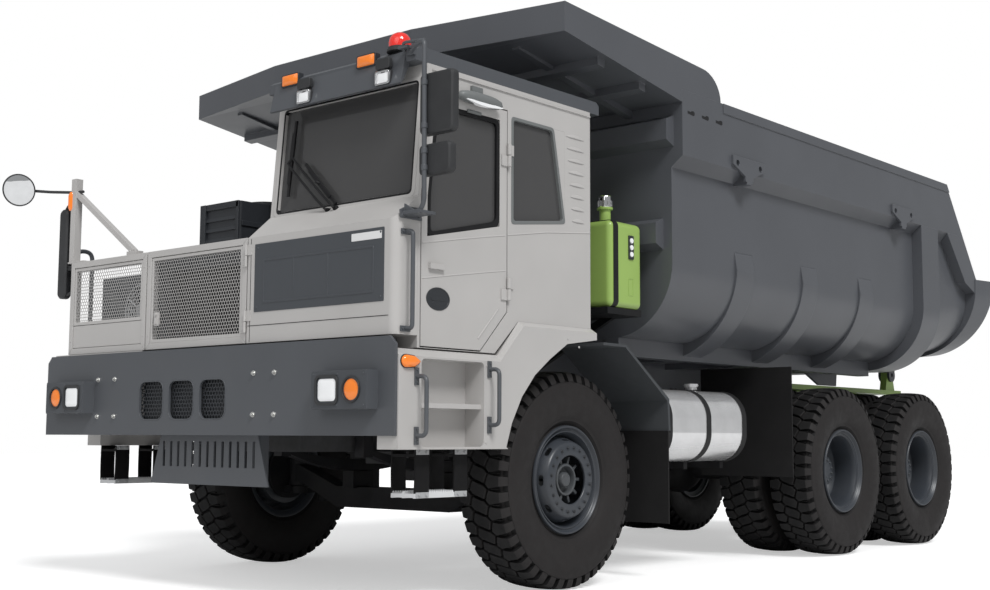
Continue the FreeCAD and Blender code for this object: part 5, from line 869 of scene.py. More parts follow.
def make_lamps(x, label, side):
    """Folded bezel over one lamp box, a white square headlamp in a black cup and a round indicator outboard."""
    middle, z = side * 1.460, LAMP_Z
    head, turn = middle - side * 0.098, middle + side * 0.112

    def bezel(inset, r):
        return about(middle, z, LAMP_HALF_Y - inset, LAMP_HALF_Z - inset, r)
    b = Build()
    b.prism(bezel(0.006, 0.016), "x", x - 0.002, x + 0.003)
    for u in (middle - LAMP_HALF_Y + 0.026, middle - side * 0.010, middle + LAMP_HALF_Y - 0.026):
        for v in (z - LAMP_HALF_Z + 0.022, z + LAMP_HALF_Z - 0.022):
            rivet(b, (x + 0.002, u, v), 0.004, 0.0080, 0.0070, 14)
    ring(b, bezel(0.002, 0.016), bezel(0.008, 0.012), on_x(x - 0.004), 0.0, 0.0075)
    b.done("%s_lamp_bezel" % label, "dark_slate", "slate_paint", bevel=0.0014)
    ring(b, about(head, z, 0.101, 0.089, 0.036), about(head, z, 0.087, 0.075, 0.030), on_x(x), 0.0, 0.012)
    ring(b, ellipse(turn, z, 0.078, 0.080), ellipse(turn, z, 0.068, 0.070), on_x(x), 0.0, 0.012)
    b.done("%s_lamp_rims" % label, "plastic", "dark_plastic", bevel=0.002)
    dome(b, about(head, z, 0.085, 0.073, 0.028), x, 0.011)
    b.done("%s_headlamp_lens" % label, "clear", "light_grey_paint", angle=50)
    dome(b, ellipse(turn, z, 0.067, 0.069), x, 0.011)
    b.done("%s_indicator_lens" % label, "orange", "light_grey_paint", angle=50)


def make_bumper_details():
    x = high("front_bumper")[0]
    face = x - 0.090                       # bumper plate; the lamp boxes stand 90 mm proud of it
    for label, side in SIDES:
        make_lamps(x, label, side)
    b = Build()
    for y in (-1.166, -0.960, 0.573, 0.777):
        for z in (1.434, 1.171):
            nut(b, Vector((face, y, z)), FORWARD, (-0.001, 0.004, 0.0185, 0.0175, 20),
                (0.003, 0.015, 0.0130, 0.0122, 6), (0.014, 0.019, 0.0070, 0.0060, 10))
    b.done("bumper_nuts", "zinc", "slate_paint", angle=40)
    # the three slots: mesh, and a dark plate behind them that is painted shade for the hollow behind the mesh; rolled
    # lips round them
    slots = [SLOT_Y + k * SLOT_PITCH for k in (-1, 0, 1)]
    for y in slots:
        mesh_sheet(b, y - 0.150, y + 0.150, SLOT_Z - 0.145, SLOT_Z + 0.145, on_x(face - 0.026), 0.030, 0.0125, 0.002)
    # dark plate: painted shade behind the slot mesh
    b.box(face - 0.064, face - 0.060, SLOT_Y - 0.500, SLOT_Y + 0.500, SLOT_Z - 0.150, SLOT_Z + 0.150)
    b.done("bumper_slot_mesh", "dark", "slate_paint")
    for y in slots:
        ring(b, about(y, SLOT_Z, 0.141, 0.134, 0.066), about(y, SLOT_Z, 0.1345, 0.1275, 0.060), on_x(face - 0.016),
             0.0, 0.019)
    b.done("bumper_slot_lips", "slate", "slate_paint", bevel=0.0015)


# ---------------------------------------------------------------- nose
def make_nose_details():
    x = high("cab_nose")[0] - 0.021          # the front wall's face, behind the hinge knuckles
    b = Build()
    # dark infill plate with a raised border and two ribs on it, left blank
    b.prism(rounded(0.512, 1.700, 1.830, 2.272, 0.006), "x", x - 0.002, x + 0.003)
    ring(b, rounded(0.598, 1.614, 1.884, 2.168, 0.014), rounded(0.610, 1.602, 1.896, 2.156, 0.008), on_x(x + 0.002),
         0.0, 0.0040)
    for u in (0.892, 1.209):
        b.box(x + 0.002, x + 0.0052, u - 0.005, u + 0.005, 1.894, 2.158)
    for u in (0.540, 1.672):
        for v in (1.858, 2.244):
            rivet(b, (x + 0.002, u, v), 0.004, 0.008, 0.007)
    b.done("nose_infill_plate", "dark_slate", "slate_paint", bevel=0.0012)
    b.prism(rounded(1.420, 1.680, 2.205, 2.252, 0.004), "x", x + 0.002, x + 0.0048)
    b.done("nose_blank_plate", "white", "light_grey_paint", bevel=0.0006)
    b.boxes((x - 0.001, x + 0.0016, 0.452, 1.738, 1.742, 1.746), (x - 0.001, x + 0.0014, 0.470, 0.4735, 1.640, 2.312))
    b.done("nose_seams", "seal", "light_grey_paint")


# ---------------------------------------------------------------- cab glazing and trim
CAB_LEFT, CAB_RIGHT = 1.800, 0.440
FOOT_X, FOOT_Z = 4.040, 2.480          # foot of the windscreen's plane
ROOF_X, ROOF_Z = 3.970, 3.300
RAKE = (FOOT_X - ROOF_X) / (ROOF_Z - FOOT_Z)


def on_screen(u, v, d):
    """A point on the raked windscreen plane: y, z and the distance it stands off."""
    return Vector((FOOT_X - (v - FOOT_Z) * RAKE + d, u, v))


ON_CAB = on_y(CAB_LEFT)


def make_glazing():
    b, skin = Build(), Build()
    ring(b, rounded(0.497, 1.743, 2.489, 3.203, 0.030), rounded(0.509, 1.731, 2.501, 3.191, 0.026), on_screen,
         -0.024, 0.0045)
    b.done("windscreen_seal", "seal", "dark_plastic", bevel=0.002)
    # bright step round the rubber
    ring(b, rounded(0.470, 1.770, 2.470, 3.226, 0.040), rounded(0.500, 1.740, 2.492, 3.200, 0.030), on_screen,
         -0.002, 0.003)
    b.done("windscreen_surround", "grey", "light_grey_paint", bevel=0.0015)
    # side windows: dark frame round a leaning pane, and the wedge of skin between it and the square hole
    x0, x1 = AXLE_X + 0.240, AXLE_X + 0.800
    pane = [(x1, 2.410), (x1, 3.110), (x0 + 0.125, 3.110), (x0, 2.480)]
    for at in (ON_CAB, on_y(CAB_RIGHT, -1)):
        ring(b, soft(grown(pane, 0.006), 0.030), soft(grown(pane, -0.016), 0.024), at, -0.030, 0.003)
        slab(skin, [(x0 - 0.002, 3.112), (x0 - 0.002, 2.474), (x0 + 0.004, 2.474), (x0 + 0.128, 3.112)], at,
             -0.028, -0.0005)
    b.done("side_window_frames", "bracket", "dark_plastic", bevel=0.0018)
    skin.done("side_window_corner_skins", "grey", "light_grey_paint", bevel=0.001)
    middle, back = (CAB_LEFT + CAB_RIGHT) / 2, low("cab_shell")[0]
    ring(b, about(middle, 2.775, 0.412, 0.287, 0.03), about(middle, 2.775, 0.388, 0.263, 0.022),
         lambda u, v, d: Vector((back - d, u, v)), -0.024, 0.004)
    b.done("rear_window_seal", "seal", "dark_plastic", bevel=0.0015)


def door_window(i):
    """Outline of the door's window, drawn in by i."""
    front, top, rear = AXLE_X + 1.590, AXLE_X + 1.523, AXLE_X + 0.920
    return [(front - i, 2.235 + i), (front - i, 2.480), (top - i, 3.070 - i), (rear + i, 3.070 - i),
            (rear + i, 2.375 + i)]


def door_edge(i):
    """Outline of the door leaf, drawn in by i."""
    front, rear = AXLE_X + 1.640, AXLE_X + 0.850
    return [(front - i, 1.572 + i), (front - i, 2.480), (AXLE_X + 1.565 - i, 3.140 - i), (rear + i, 3.140 - i),
            (rear + i, 1.832 + i * 0.6), (AXLE_X + 1.105 + i * 0.6, 1.572 + i)]


def swage(b, line):
    """Pressed line in the cab's left skin, as separate straight lengths."""
    for ends in zip(line, line[1:]):
        b.skin([[ON_CAB(u, v + up, d) for up, d in ((0, -0.002), (0.016, -0.002), (0.003, 0.0035))] for u, v in ends])


def make_door_details():
    y, at = CAB_LEFT, ON_CAB
    b = Build()
    # black printed band of the bonded door glass, flush in the window's hole
    ring(b, soft(door_window(0.001), 0.045), soft(door_window(0.030), 0.035), at, -0.020, -0.0012)
    b.done("door_glass_band", "seal", "dark_plastic", "cab_door", bevel=0.001)
    swage(b, ((4.000, 2.185), (3.700, 2.240), (3.400, 2.292), (3.232, 2.318)))
    swage(b, ((4.004, 1.972), (3.700, 2.020), (3.400, 2.066), (3.232, 2.090)))
    # pressed line along the cut-off corner
    b.skin([[at(u, v, -0.001) for u, v in ((3.492, 1.640), (3.300, 1.838), (3.300, 1.852), (3.502, 1.646))],
            [at(u, v, 0.004) for u, v in ((3.490, 1.642), (3.302, 1.838), (3.302, 1.846), (3.498, 1.648))]])
    b.done("door_swage_lines", "grey", "light_grey_paint", "cab_door", bevel=0.001)
    # recess cup with the lock
    slab(b, ellipse(3.862, 1.863, 0.100, 0.066), at, -0.004, 0.0015)
    ring(b, ellipse(3.862, 1.863, 0.104, 0.070), ellipse(3.862, 1.863, 0.095, 0.061), at, -0.004, 0.004)
    b.box(3.800, 3.924, y + 0.001, y + 0.0045, 1.853, 1.873)
    b.rod((3.900, y, 1.836), (3.900, y + 0.005, 1.836), 0.010, 0.009)
    b.done("door_lock_cup", "dark", "dark_plastic", "cab_door", bevel=0.001)
    # outer rubber round the door leaf, seen as a dark line
    ring(b, door_edge(-0.0038), door_edge(-0.0008), at, -0.030, -0.006)
    b.done("door_edge_seal", "seal", "dark_plastic", "cab_door")
    b.prism(rounded(3.480, 3.610, 3.060, 3.082, 0.006), "y", y - 0.001, y + 0.010)
    b.rod((3.500, y + 0.008, 3.071), (3.590, y + 0.008, 3.071), 0.006, sides=12)
    b.done("door_top_catch", "bracket", "dark_plastic", "cab_door", bevel=0.0015)


def louvre(z, x0, x1, steps=6):
    """Sections of one pressed louvre, which swells in the middle of its length."""
    for t in (i / steps for i in range(steps + 1)):
        x, d = x0 + (x1 - x0) * t, 0.006 * math.sin(PI * t) ** 0.5 if 0 < t < 1 else 0.0
        h = 0.026 * (0.45 + 0.55 * math.sin(PI * t))
        yield [ON_CAB(x, z + up, off) for up, off in ((h, -0.001), (h * 0.4, d * 0.75), (0, d), (-0.003, d * 0.9),
                                                      (0.002, -0.001))]


def make_cab_trim():
    y = CAB_LEFT
    b = Build()
    # louvres behind the side window, the swage below the windows and the gutter under the roof
    for k in range(8):
        b.skin(list(louvre(3.085 - k * 0.083, AXLE_X + 0.020, AXLE_X + 0.225 - k * 0.010)))
    swage(b, ((3.205, 2.325), (2.800, 2.390), (2.322, 2.440)))
    b.box(2.325, 3.930, y - 0.002, y + 0.010, 3.262, 3.270)
    b.done("cab_louvres_and_swages", "grey", "light_grey_paint", angle=40)
    # work lamp over the door: oval shell on a bracket, with the lens along its lower front
    sections = []
    for t in (-1 + i / 5 for i in range(11)):
        thick = math.sqrt(max(0.0, 1 - abs(t) ** 3.2))
        sections.append([Vector((3.530 + 0.222 * t, y + 0.040 + 0.044 * thick * c, 3.150 + 0.040 * thick * s
                                 - 0.006 * t * t)) for c, s in circle(24)])
    b.skin(sections, True, None)
    b.box(3.480, 3.580, y - 0.002, y + 0.020, 3.150, 3.235)
    b.done("door_work_lamp", "bracket", "dark_plastic")
    arch = [(i / 20, math.sin(PI * i / 20)) for i in range(21)]
    band = [(3.345 + 0.34 * t, 3.128 + 0.006 * s) for t, s in arch]
    band += [(3.345 + 0.34 * t, 3.124 - 0.016 * s) for t, s in reversed(arch)]
    b.skin([[Vector((u, y + d, v - drop)) for u, v in band] for d, drop in ((0.030, 0.0), (0.074, 0.004))])
    b.done("door_work_lamp_lens", "clear", "dark_plastic", angle=50)


def make_roof_lamps():
    front = high("roof_visor")[0]
    markers, cases, rims, lenses = (Build() for _ in range(4))
    for y in (0.660, 1.375):
        markers.prism(about(y, 3.366, 0.086, 0.042, 0.010), "x", front - 0.075, front - 0.030)
        dome(lenses, about(y, 3.366, 0.078, 0.035, 0.010), front - 0.031, 0.022)
    markers.done("roof_marker_bases", "dark", "dark_plastic", bevel=0.003)
    lenses.done("roof_marker_lenses", "orange", "light_grey_paint", angle=50)
    # spotlights on brackets under the visor's edge
    for y in (0.838, 1.562):
        cases.prism(about(y, 3.305, 0.060, 0.033, 0.012), "x", front - 0.020, front + 0.010)
        cases.box(front - 0.010, front + 0.004, y - 0.018, y + 0.018, 3.222, 3.290)
        cases.prism(about(y, 3.217, 0.064, 0.045, 0.016), "x", front - 0.062, front + 0.002)
        ring(rims, about(y, 3.217, 0.062, 0.043, 0.015), about(y, 3.217, 0.052, 0.033, 0.011), on_x(front), 0.0, 0.012)
        dome(lenses, about(y, 3.217, 0.051, 0.032, 0.010), front + 0.002, 0.008)
    cases.done("roof_spotlight_cases", "plastic", "dark_plastic", bevel=0.003)
    rims.done("roof_spotlight_rims", "chrome", "dark_plastic", bevel=0.001)
    lenses.done("roof_spotlight_lenses", "clear", "light_grey_paint", angle=50)
    b, at = Build(), (4.010, 1.600, 3.390)
    b.lathe([(0.0, 0.0), (0.0, 0.082), (0.014, 0.082), (0.020, 0.074), (0.030, 0.074), (0.030, 0.0)], at, "z", sides=36)
    b.done("beacon_base", "plastic", "dark_plastic", bevel=0.001)
    b.lathe([(0.028, 0.0), (0.028, 0.068), (0.060, 0.070), (0.090, 0.064), (0.112, 0.048), (0.124, 0.026),
             (0.128, 0.0)], at, "z", sides=36)
    b.done("beacon_dome", "red", "light_grey_paint", angle=50)


def make_wipers():
    b = Build()
    # spindles and their cranked arms
    for foot, tip in (((1.020, 2.462), (0.600, 2.820)), ((1.090, 2.470), (0.640, 2.856))):
        p, along = Vector(foot), Vector(tip) - Vector(foot)
        b.rod(on_screen(*p, -0.02), on_screen(*p, 0.026), 0.018, 0.016)
        b.tube([on_screen(*(p + along * t), d) for t, d in ((0, 0.030), (0.25, 0.040), (0.8, 0.034), (1, 0.022))],
               0.0085, sides=10)
    # joints at the blades
    for a, c, r in (((0.597, 2.818, 0.022), (0.643, 2.858, 0.022), 0.010),
                    ((0.622, 2.838, 0.022), (0.623, 2.850, 0.014), 0.012),
                    ((0.900, 2.665, 0.034), (0.923, 2.650, 0.018), 0.010)):
        b.tube([on_screen(*a), on_screen(*c)], r, sides=10)
    # vertical blade, and the second blade parked along the arms: each a spine, its rubber and a shorter clip
    for a, c in (((0.634, 3.110), (0.612, 2.600)), ((0.762, 2.800), (1.085, 2.500))):
        p, q = Vector(a), Vector(c)
        side = (q - p).orthogonal().normalized()
        for w, cut, d0, d1 in ((0.010, 0.0, 0.004, 0.016), (0.0035, 0.0, -0.004, 0.005), (0.015, 0.16, 0.014, 0.022)):
            e = (q - p) * cut
            b.skin([[on_screen(*v, d) for v in (p + e + side * w, q - e + side * w, q - e - side * w, p + e - side * w)]
                    for d in (d0, d1)])
    b.done("wipers", "seal", "dark_plastic", bevel=0.0015)
    for y in (0.70, 0.80, 1.36, 1.46, 1.56):
        b.rod(on_screen(y, 2.470, -0.004), on_screen(y, 2.470, 0.002), 0.010, 0.009, sides=14)
    b.done("cowl_plugs", "seal", "dark_plastic", bevel=0.001)


# ---------------------------------------------------------------- handles, rails and steps
GRAB_R = 0.0135
FENDER_Y, FENDER_HANDLE_Y = 1.850, 1.935


def foot_plate(b, centre, normal, long_axis, half_long, half_wide):
    """Small plate under a handle's end with two bolts."""
    n, u, c, wall = Vector(normal), Vector(long_axis), Vector(centre), 0.010
    b.block(c + n * wall / 2, (half_long * 2, half_wide * 2, wall), Matrix((u, n.cross(u), n)).transposed())
    for s in (-1, 1):
        b.bolt(c + n * wall + u * s * half_long * 0.70, n, 0.0065, 0.007, washer=False)


def make_handrails():
    b = Build()
    # beside the cab door
    x, y, top, foot = AXLE_X + 1.775, CAB_LEFT, 2.240, 1.665
    path = [(x, y + 0.002, top), (x, y + 0.062, top), (x, y + 0.062, foot), (x, y + 0.002, foot)]
    b.tube(round_path(path, 0.045, 6), GRAB_R, sides=14)
    for z in (top, foot):
        foot_plate(b, (x, y, z), (0, 1, 0), FORWARD, 0.040, 0.017)
    # on the fenders and step boxes
    for side, x, z0, z1 in ((1, 3.445, 1.109, 1.453), (1, 4.095, 1.041, 1.387), (-1, 3.445, 1.109, 1.453),
                            (-1, 3.815, 1.041, 1.387)):
        y, out = side * FENDER_Y, side * FENDER_HANDLE_Y
        b.tube(round_path([(x, y, z1), (x, out, z1), (x, out, z0), (x, y, z0)], 0.050, 6), GRAB_R, sides=14)
        for z in (z0, z1):
            foot_plate(b, (x, y, z), (0, side, 0), UP, 0.052, 0.017)
    # on the right of the deck
    y, base, top, rail = -1.772, 1.562, 2.445, (3.960, 4.100)
    path = [(rail[0], y, base), (rail[0], y, top), (rail[1], y, top), (rail[1], y, base)]
    b.tube(round_path(path, 0.066, 8), 0.0165, sides=14)
    for x in rail:
        foot_plate(b, (x, y, base), UP, FORWARD, 0.045, 0.028)
    b.done("grab_rails", "handle", "step_steel", bevel=0.0012, angle=40, replaces=["handrails"])


def make_steps():
    """Serrated treads on rubber straps, with the screwed brackets at both ends of each strap."""
    straps, treads, plates = Build(), Build(), Build()
    foot, top, wall, teeth_count, bow_steps = 0.700, 0.961, 0.012, 23, 8
    for side, cx in ((1, 3.770), (-1, 3.605)):
        y_lo, y_hi = sorted((side * 1.756, side * 1.556))
        x0, x1 = cx - 0.230, cx + 0.230
        for x in (x0, x1 - 0.120):
            for y, face in ((y_hi - wall, 1), (y_lo, -1)):
                bow = [(y + 0.004 * math.sin(PI * k / bow_steps) * face, foot + (top - foot) * k / bow_steps)
                       for k in range(bow_steps + 1)]
                straps.prism(bow + [(u + wall, v) for u, v in reversed(bow)], "x", x, x + 0.120)
                f = y + (wall if face > 0 else 0.0)
                for z0, z1 in ((0.929, 0.960), (0.676, 0.708)):
                    plates.box(x + 0.006, x + 0.114, f, f + face * 0.006, z0, z1)
                    for at in (x + 0.030, x + 0.090):
                        plates.bolt((at, f + face * 0.006, (z0 + z1) / 2), (0, face, 0), 0.0075, 0.009)
            straps.box(x + 0.002, x + 0.118, y_lo + 0.001, y_hi - 0.001, 0.916, 0.934)
        # tread: two side bars and one in the middle, saw-toothed, with cross bars between
        edges = [x0 + (x1 - x0) * k / teeth_count for k in range(teeth_count + 1)]
        teeth = [p for a, c in zip(edges, edges[1:])
                 for p in ((a + 0.001, 0.703), (a + 0.006, 0.714), (c - 0.006, 0.714), (c - 0.001, 0.703))]
        for y in (y_lo, y_hi - 0.016, (y_lo + y_hi) / 2 - 0.008):
            treads.prism([(x0, 0.673), *teeth, (x1, 0.673)], "y", y, y + 0.016)
        for k in range(6):
            x = x0 + 0.006 + (x1 - x0 - 0.012) * k / 5
            treads.box(x - 0.006, x + 0.006, y_lo + 0.001, y_hi - 0.001, 0.676, 0.700)
    straps.done("step_straps", "flap", "step_steel", bevel=0.0015, replaces=["hanging_steps"])
    treads.done("step_treads", "white_steel", "step_steel", bevel=0.0008, replaces=["hanging_steps"])
    plates.done("step_strap_brackets", "bracket_light", "step_steel", bevel=0.0012)


# ---------------------------------------------------------------- mirrors
MIRROR_X = 4.170                  # both posts


def turned(b, profile, centre, turn, sides=56):
    """Skin of (along, radius) pairs spun about the x axis, then turned and moved to its place."""
    b.skin([[centre + turn @ Vector((along, u, v)) for u, v in circle(sides, max(radius, 1e-5))]
            for along, radius in profile], True, None)


def shell(b, outline, sections):
    """Mirror back: the outline grown or shrunk at each x."""
    b.skin([[Vector((x, u, v)) for u, v in (grown(outline, d) if d else outline)] for x, d in sections])


def make_right_mirror():
    x, y, deck = MIRROR_X, -1.680, 2.325
    b = Build()
    b.boxes((x - 0.040, x + 0.040, y - 0.030, y + 0.180, deck, deck + 0.012),
            (x - 0.030, x + 0.030, y - 0.030, y + 0.030, deck + 0.004, 2.975),
            (x - 0.030, x + 0.030, -0.960, -0.840, deck, deck + 0.030))
    p, q = Vector((x, y + 0.020, 2.860)), Vector((x, -0.900, deck + 0.025))
    b.block((p + q) / 2, (0.040, 0.040, (q - p).length), (q - p).to_track_quat("Z", "X").to_matrix())
    for u in (-0.930, -0.870):
        b.bolt((x + 0.018, u, deck + 0.030), UP, 0.007, 0.008)
    b.done("mirror_post_square", "grey", "light_grey_paint", bevel=0.003, replaces=["right_mirror_post"])
    tip, arm_x = Vector((4.381, -2.107, 2.914)), x - 0.010
    b.tube(round_path([(x, y + 0.085, 2.872), (x, y - 0.040, 2.880), (4.262, -1.905, 2.892), (4.326, -2.002, 2.902),
                       tip], 0.02), 0.011)
    for z0, z1, z2, r in ((2.700, 2.790, 2.760, 0.012), (2.120, 2.085, 2.120, 0.010)):
        b.tube(round_path([(arm_x, y - 0.028, z0), (arm_x, -1.800 if r > 0.011 else -1.830, z1), (arm_x, -1.830, z2)],
                          0.04), r)
    for z in (2.300, 2.560):
        b.box(x - 0.022, x - 0.002, -1.790, y - 0.028, z - 0.018, z + 0.018)
    shell(b, rounded(-1.885, -1.775, 2.070, 2.760, 0.045, 6),
          ((x + 0.018, -0.012), (x + 0.006, 0), (x - 0.034, 0), (x - 0.040, -0.004)))
    # convex mirror's dish and its rolled rim
    dish = Matrix.Rotation(math.radians(44), 3, "Z") @ Matrix.Rotation(math.radians(16), 3, "Y")
    centre = Vector((4.425, -2.077, 2.905))
    turned(b, [(-0.052, 0.0), (-0.046, 0.070), (-0.030, 0.108), (-0.010, 0.122), (0.004, 0.125), (0.008, 0.123),
               (0.008, 0.117), (0.002, 0.114), (-0.006, 0.0)], centre, dish)
    b.ball(tip, 0.020)
    b.done("right_mirror_arms_and_shells", "plastic", "dark_plastic", bevel=0.0015, angle=40,
           replaces=["right_mirror_post"])
    turned(b, [(-0.004, 0.0), (-0.004, 0.115), (0.003, 0.1155), (0.011, 0.085), (0.0165, 0.045), (0.0185, 0.0)],
           centre, dish)
    b.prism(rounded(-1.877, -1.783, 2.080, 2.750, 0.038, 6), "x", x - 0.0425, x - 0.0395)
    b.done("right_mirror_glasses", "mirror", "dark_plastic", angle=60)
    dome(b, rounded(y - 0.058, y - 0.012, 2.735, 2.880, 0.020), x + 0.032, 0.014)
    b.done("post_marker_lens", "orange", "light_grey_paint", angle=50)


def make_left_mirrors():
    x, roof_x, pad_y = MIRROR_X, 4.070, 1.812
    b = Build()
    path = [(roof_x + 0.014, 1.770, 3.348), (x - 0.01, 1.900, 3.366), (x, 1.962, 3.362), (x, 1.966, 3.000),
            (x, 1.972, 2.400), (x, 1.940, 2.345), (x, pad_y, 2.345)]
    b.tube(round_path(path, 0.05), 0.0145, sides=14)
    b.tube(round_path([(roof_x + 0.020, 1.720, 3.360), (roof_x + 0.060, 1.740, 3.400), (roof_x + 0.055, 1.860, 3.392),
                       (x - 0.010, 1.955, 3.372)], 0.03, 4), 0.0095, sides=10)
    b.boxes((roof_x, roof_x + 0.022, 1.740, 1.795, 3.330, 3.370),
            (roof_x + 0.002, roof_x + 0.060, 1.700, 1.780, 3.366, 3.384),
            (x - 0.110, x + 0.020, pad_y, 1.962, 2.335, 2.352))
    # gusseted pad on the cab's corner
    b.prism([(x - 0.150, 2.318), (x + 0.028, 2.318), (x + 0.034, 2.366), (x - 0.020, 2.392), (x - 0.140, 2.392)], "y",
            1.802, 1.814)
    b.prism([(pad_y, 2.352), (pad_y, 2.405), (1.900, 2.352)], "x", x - 0.012, x + 0.002)
    for u, v in ((x - 0.125, 2.335), (x - 0.125, 2.375), (x + 0.012, 2.332)):
        b.bolt((u, 1.814, v), (0, 1, 0), 0.008, 0.009)
    # clamps on the tube
    for z in (2.600, 2.700, 2.850, 3.110):
        y = 1.962 + (3.362 - z) * 0.010
        b.rod((x, y, z - 0.016), (x, y, z + 0.016), 0.019, sides=16)
        b.box(x - 0.030, x - 0.008, y - 0.012, y + 0.012, z - 0.012, z + 0.012)
    b.done("left_mirror_tubes", "slate", "slate_paint", bevel=0.0015, angle=40, replaces=["left_mirrors"])
    front = x - 0.016
    for size in ((1.908, 2.178, 2.798, 3.170), (1.905, 2.160, 2.556, 2.744)):
        shell(b, rounded(*size, 0.034, 6), ((front, -0.014), (front - 0.006, -0.004), (front - 0.016, 0),
                                            (front - 0.050, 0), (front - 0.056, -0.004)))
    b.done("left_mirror_shells", "plastic", "dark_plastic", angle=30, replaces=["left_mirrors"])
    for size in ((1.918, 2.168, 2.808, 3.160), (1.915, 2.150, 2.566, 2.734)):
        b.prism(rounded(*size, 0.028, 6), "x", front - 0.0585, front - 0.055)
    b.done("left_mirror_glasses", "mirror", "dark_plastic")


# ---------------------------------------------------------------- tanks
def make_tank_details():
    lo, hi = low("hydraulic_tank"), high("hydraulic_tank")
    neck = Vector((AXLE_X - 0.500, 1.600, 0))
    body_top, y = 2.600, hi[1]
    b = Build()
    # black rubber-lined strap round the oil tank
    ring(b, rounded(lo[1] - 0.004, y + 0.004, lo[2], body_top + 0.004, 0.048, 6),
         rounded(lo[1] - 0.0005, y + 0.0005, lo[2] + 0.0035, body_top + 0.0005, 0.045, 6),
         on_x(hi[0] - 0.092), 0.0, 0.058)
    b.done("oil_tank_strap", "seal", "dark_plastic", bevel=0.0008)
    b.lathe([(2.704, 0.0), (2.704, 0.0485), (2.712, 0.0500), (2.758, 0.0500), (2.766, 0.0475), (2.786, 0.0475),
             (2.793, 0.043), (2.796, 0.034), (2.797, 0.0)], neck, "z", sides=40)
    for u, v in circle(12, 0.0495):
        p = neck + Vector((u, v, 2.714))
        b.rod(p, p + UP * 0.040, 0.0042, sides=8)
    b.done("oil_tank_cap", "chrome", "polished_tank", bevel=0.0008)
    # sight gauge with three windows, and the blank recess of a label, on the outer face
    gauge_x = lo[0] + 0.150
    b.prism(about(gauge_x, 2.4175, 0.030, 0.0875, 0.006), "y", y - 0.002, y + 0.010)
    b.done("oil_gauge_case", "dark", "dark_plastic", bevel=0.0015)
    for z in (2.367, 2.417, 2.467):
        b.rod((gauge_x, y + 0.008, z), (gauge_x, y + 0.016, z), 0.020, 0.018, sides=24)
    b.done("oil_gauge_windows", "clear", "dark_plastic", bevel=0.001)
    ring(b, about(gauge_x, 2.126, 0.030, 0.064, 0.004), about(gauge_x, 2.126, 0.025, 0.059, 0.003), on_y(y),
         -0.001, 0.0025)
    for s in (1, -1):
        b.bolt(neck + Vector((s * 0.052, 0, 2.706)), UP, 0.005, 0.006)
    b.lathe([(2.598, 0.040), (2.598, 0.058), (2.606, 0.052), (2.606, 0.042)], neck, "z", sides=36)
    b.done("oil_tank_details", "green", "green_paint", bevel=0.001)
    # fuel tank: filler cap and the level sender with its screws
    cap, sender, top = Vector((AXLE_X - 1.980, 1.380, 0)), Vector((AXLE_X - 1.750, 1.360, 0)), 1.410
    b.lathe([(top - 0.004, 0.0), (top - 0.004, 0.060), (top + 0.010, 0.062), (top + 0.014, 0.052),
             (top + 0.034, 0.052), (top + 0.034, 0.0)], cap, "z", sides=36)
    b.rod(sender + UP * (top - 0.004), sender + UP * (top + 0.018), 0.030, sides=24)
    for u, v in circle(5, 0.021):
        b.bolt(sender + Vector((u, v, top + 0.018)), UP, 0.0035, 0.004, False)
    b.done("fuel_tank_fittings", "seal", "dark_plastic", bevel=0.001)


# ---------------------------------------------------------------- cooling pack behind the mesh panels
def make_cooling_pack():
    """Dark shroud that fills the middle panel, and the outboard cooler with its round fan guard."""
    lo, hi, panel = low("radiator"), high("radiator"), high("radiator_door")
    b = Build()
    ring(b, rounded(-0.945, panel[1] - 0.010, 1.420, panel[2] - 0.010, 0.010, 2),
         rounded(lo[1] + 0.030, hi[1] - 0.030, lo[2] + 0.060, hi[2] - 0.060, 0.010, 2), on_x(hi[0] + 0.006), 0.0, 0.010)
    b.done("radiator_shroud", "dark", "radiator_black", bevel=0.002)
    fins = 46
    for k in range(fins):
        y = lo[1] + 0.035 + (hi[1] - lo[1] - 0.070) * k / (fins - 1)
        b.box(hi[0] - 0.002, hi[0] + 0.005, y - 0.0022, y + 0.0022, lo[2] + 0.065, hi[2] - 0.065)
    b.done("radiator_fins", "core", "radiator_black")
    x, y0, y1, z0, z1 = 3.905, -1.700, -0.950, 1.640, 2.235
    b.prism(rounded(y0, y1, z0, z1, 0.012), "x", x - 0.045, x)
    for k in range(9):
        z = z0 + 0.035 + (z1 - z0 - 0.070) * k / 8
        b.box(x - 0.001, x + 0.004, y0 + 0.016, y1 - 0.004, z - 0.004, z + 0.004)
    for y in (y0 + 0.020, y1 - 0.050):
        b.box(x - 0.040, x - 0.010, y, y + 0.030, 1.560, z0 + 0.01)
    b.done("oil_cooler", "dark_slate", "radiator_black", bevel=0.0015)
    fan = Vector((x, -1.170, 1.960))
    for r in (0.200, 0.165, 0.130, 0.095, 0.060):
        ring(b, ellipse(fan.y, fan.z, r, r, 40), ellipse(fan.y, fan.z, r - 0.008, r - 0.008, 40), on_x(x + 0.008),
             0.0, 0.008)
    for u, v in circle(6, 0.205, 0.5):
        b.rod(fan + FORWARD * 0.014, fan + Vector((0.010, u, v)), 0.0045, sides=8)
    b.rod(fan, fan + FORWARD * 0.018, 0.060, 0.055, sides=28)
    b.done("oil_cooler_fan_guard", "bracket_light", "radiator_black")


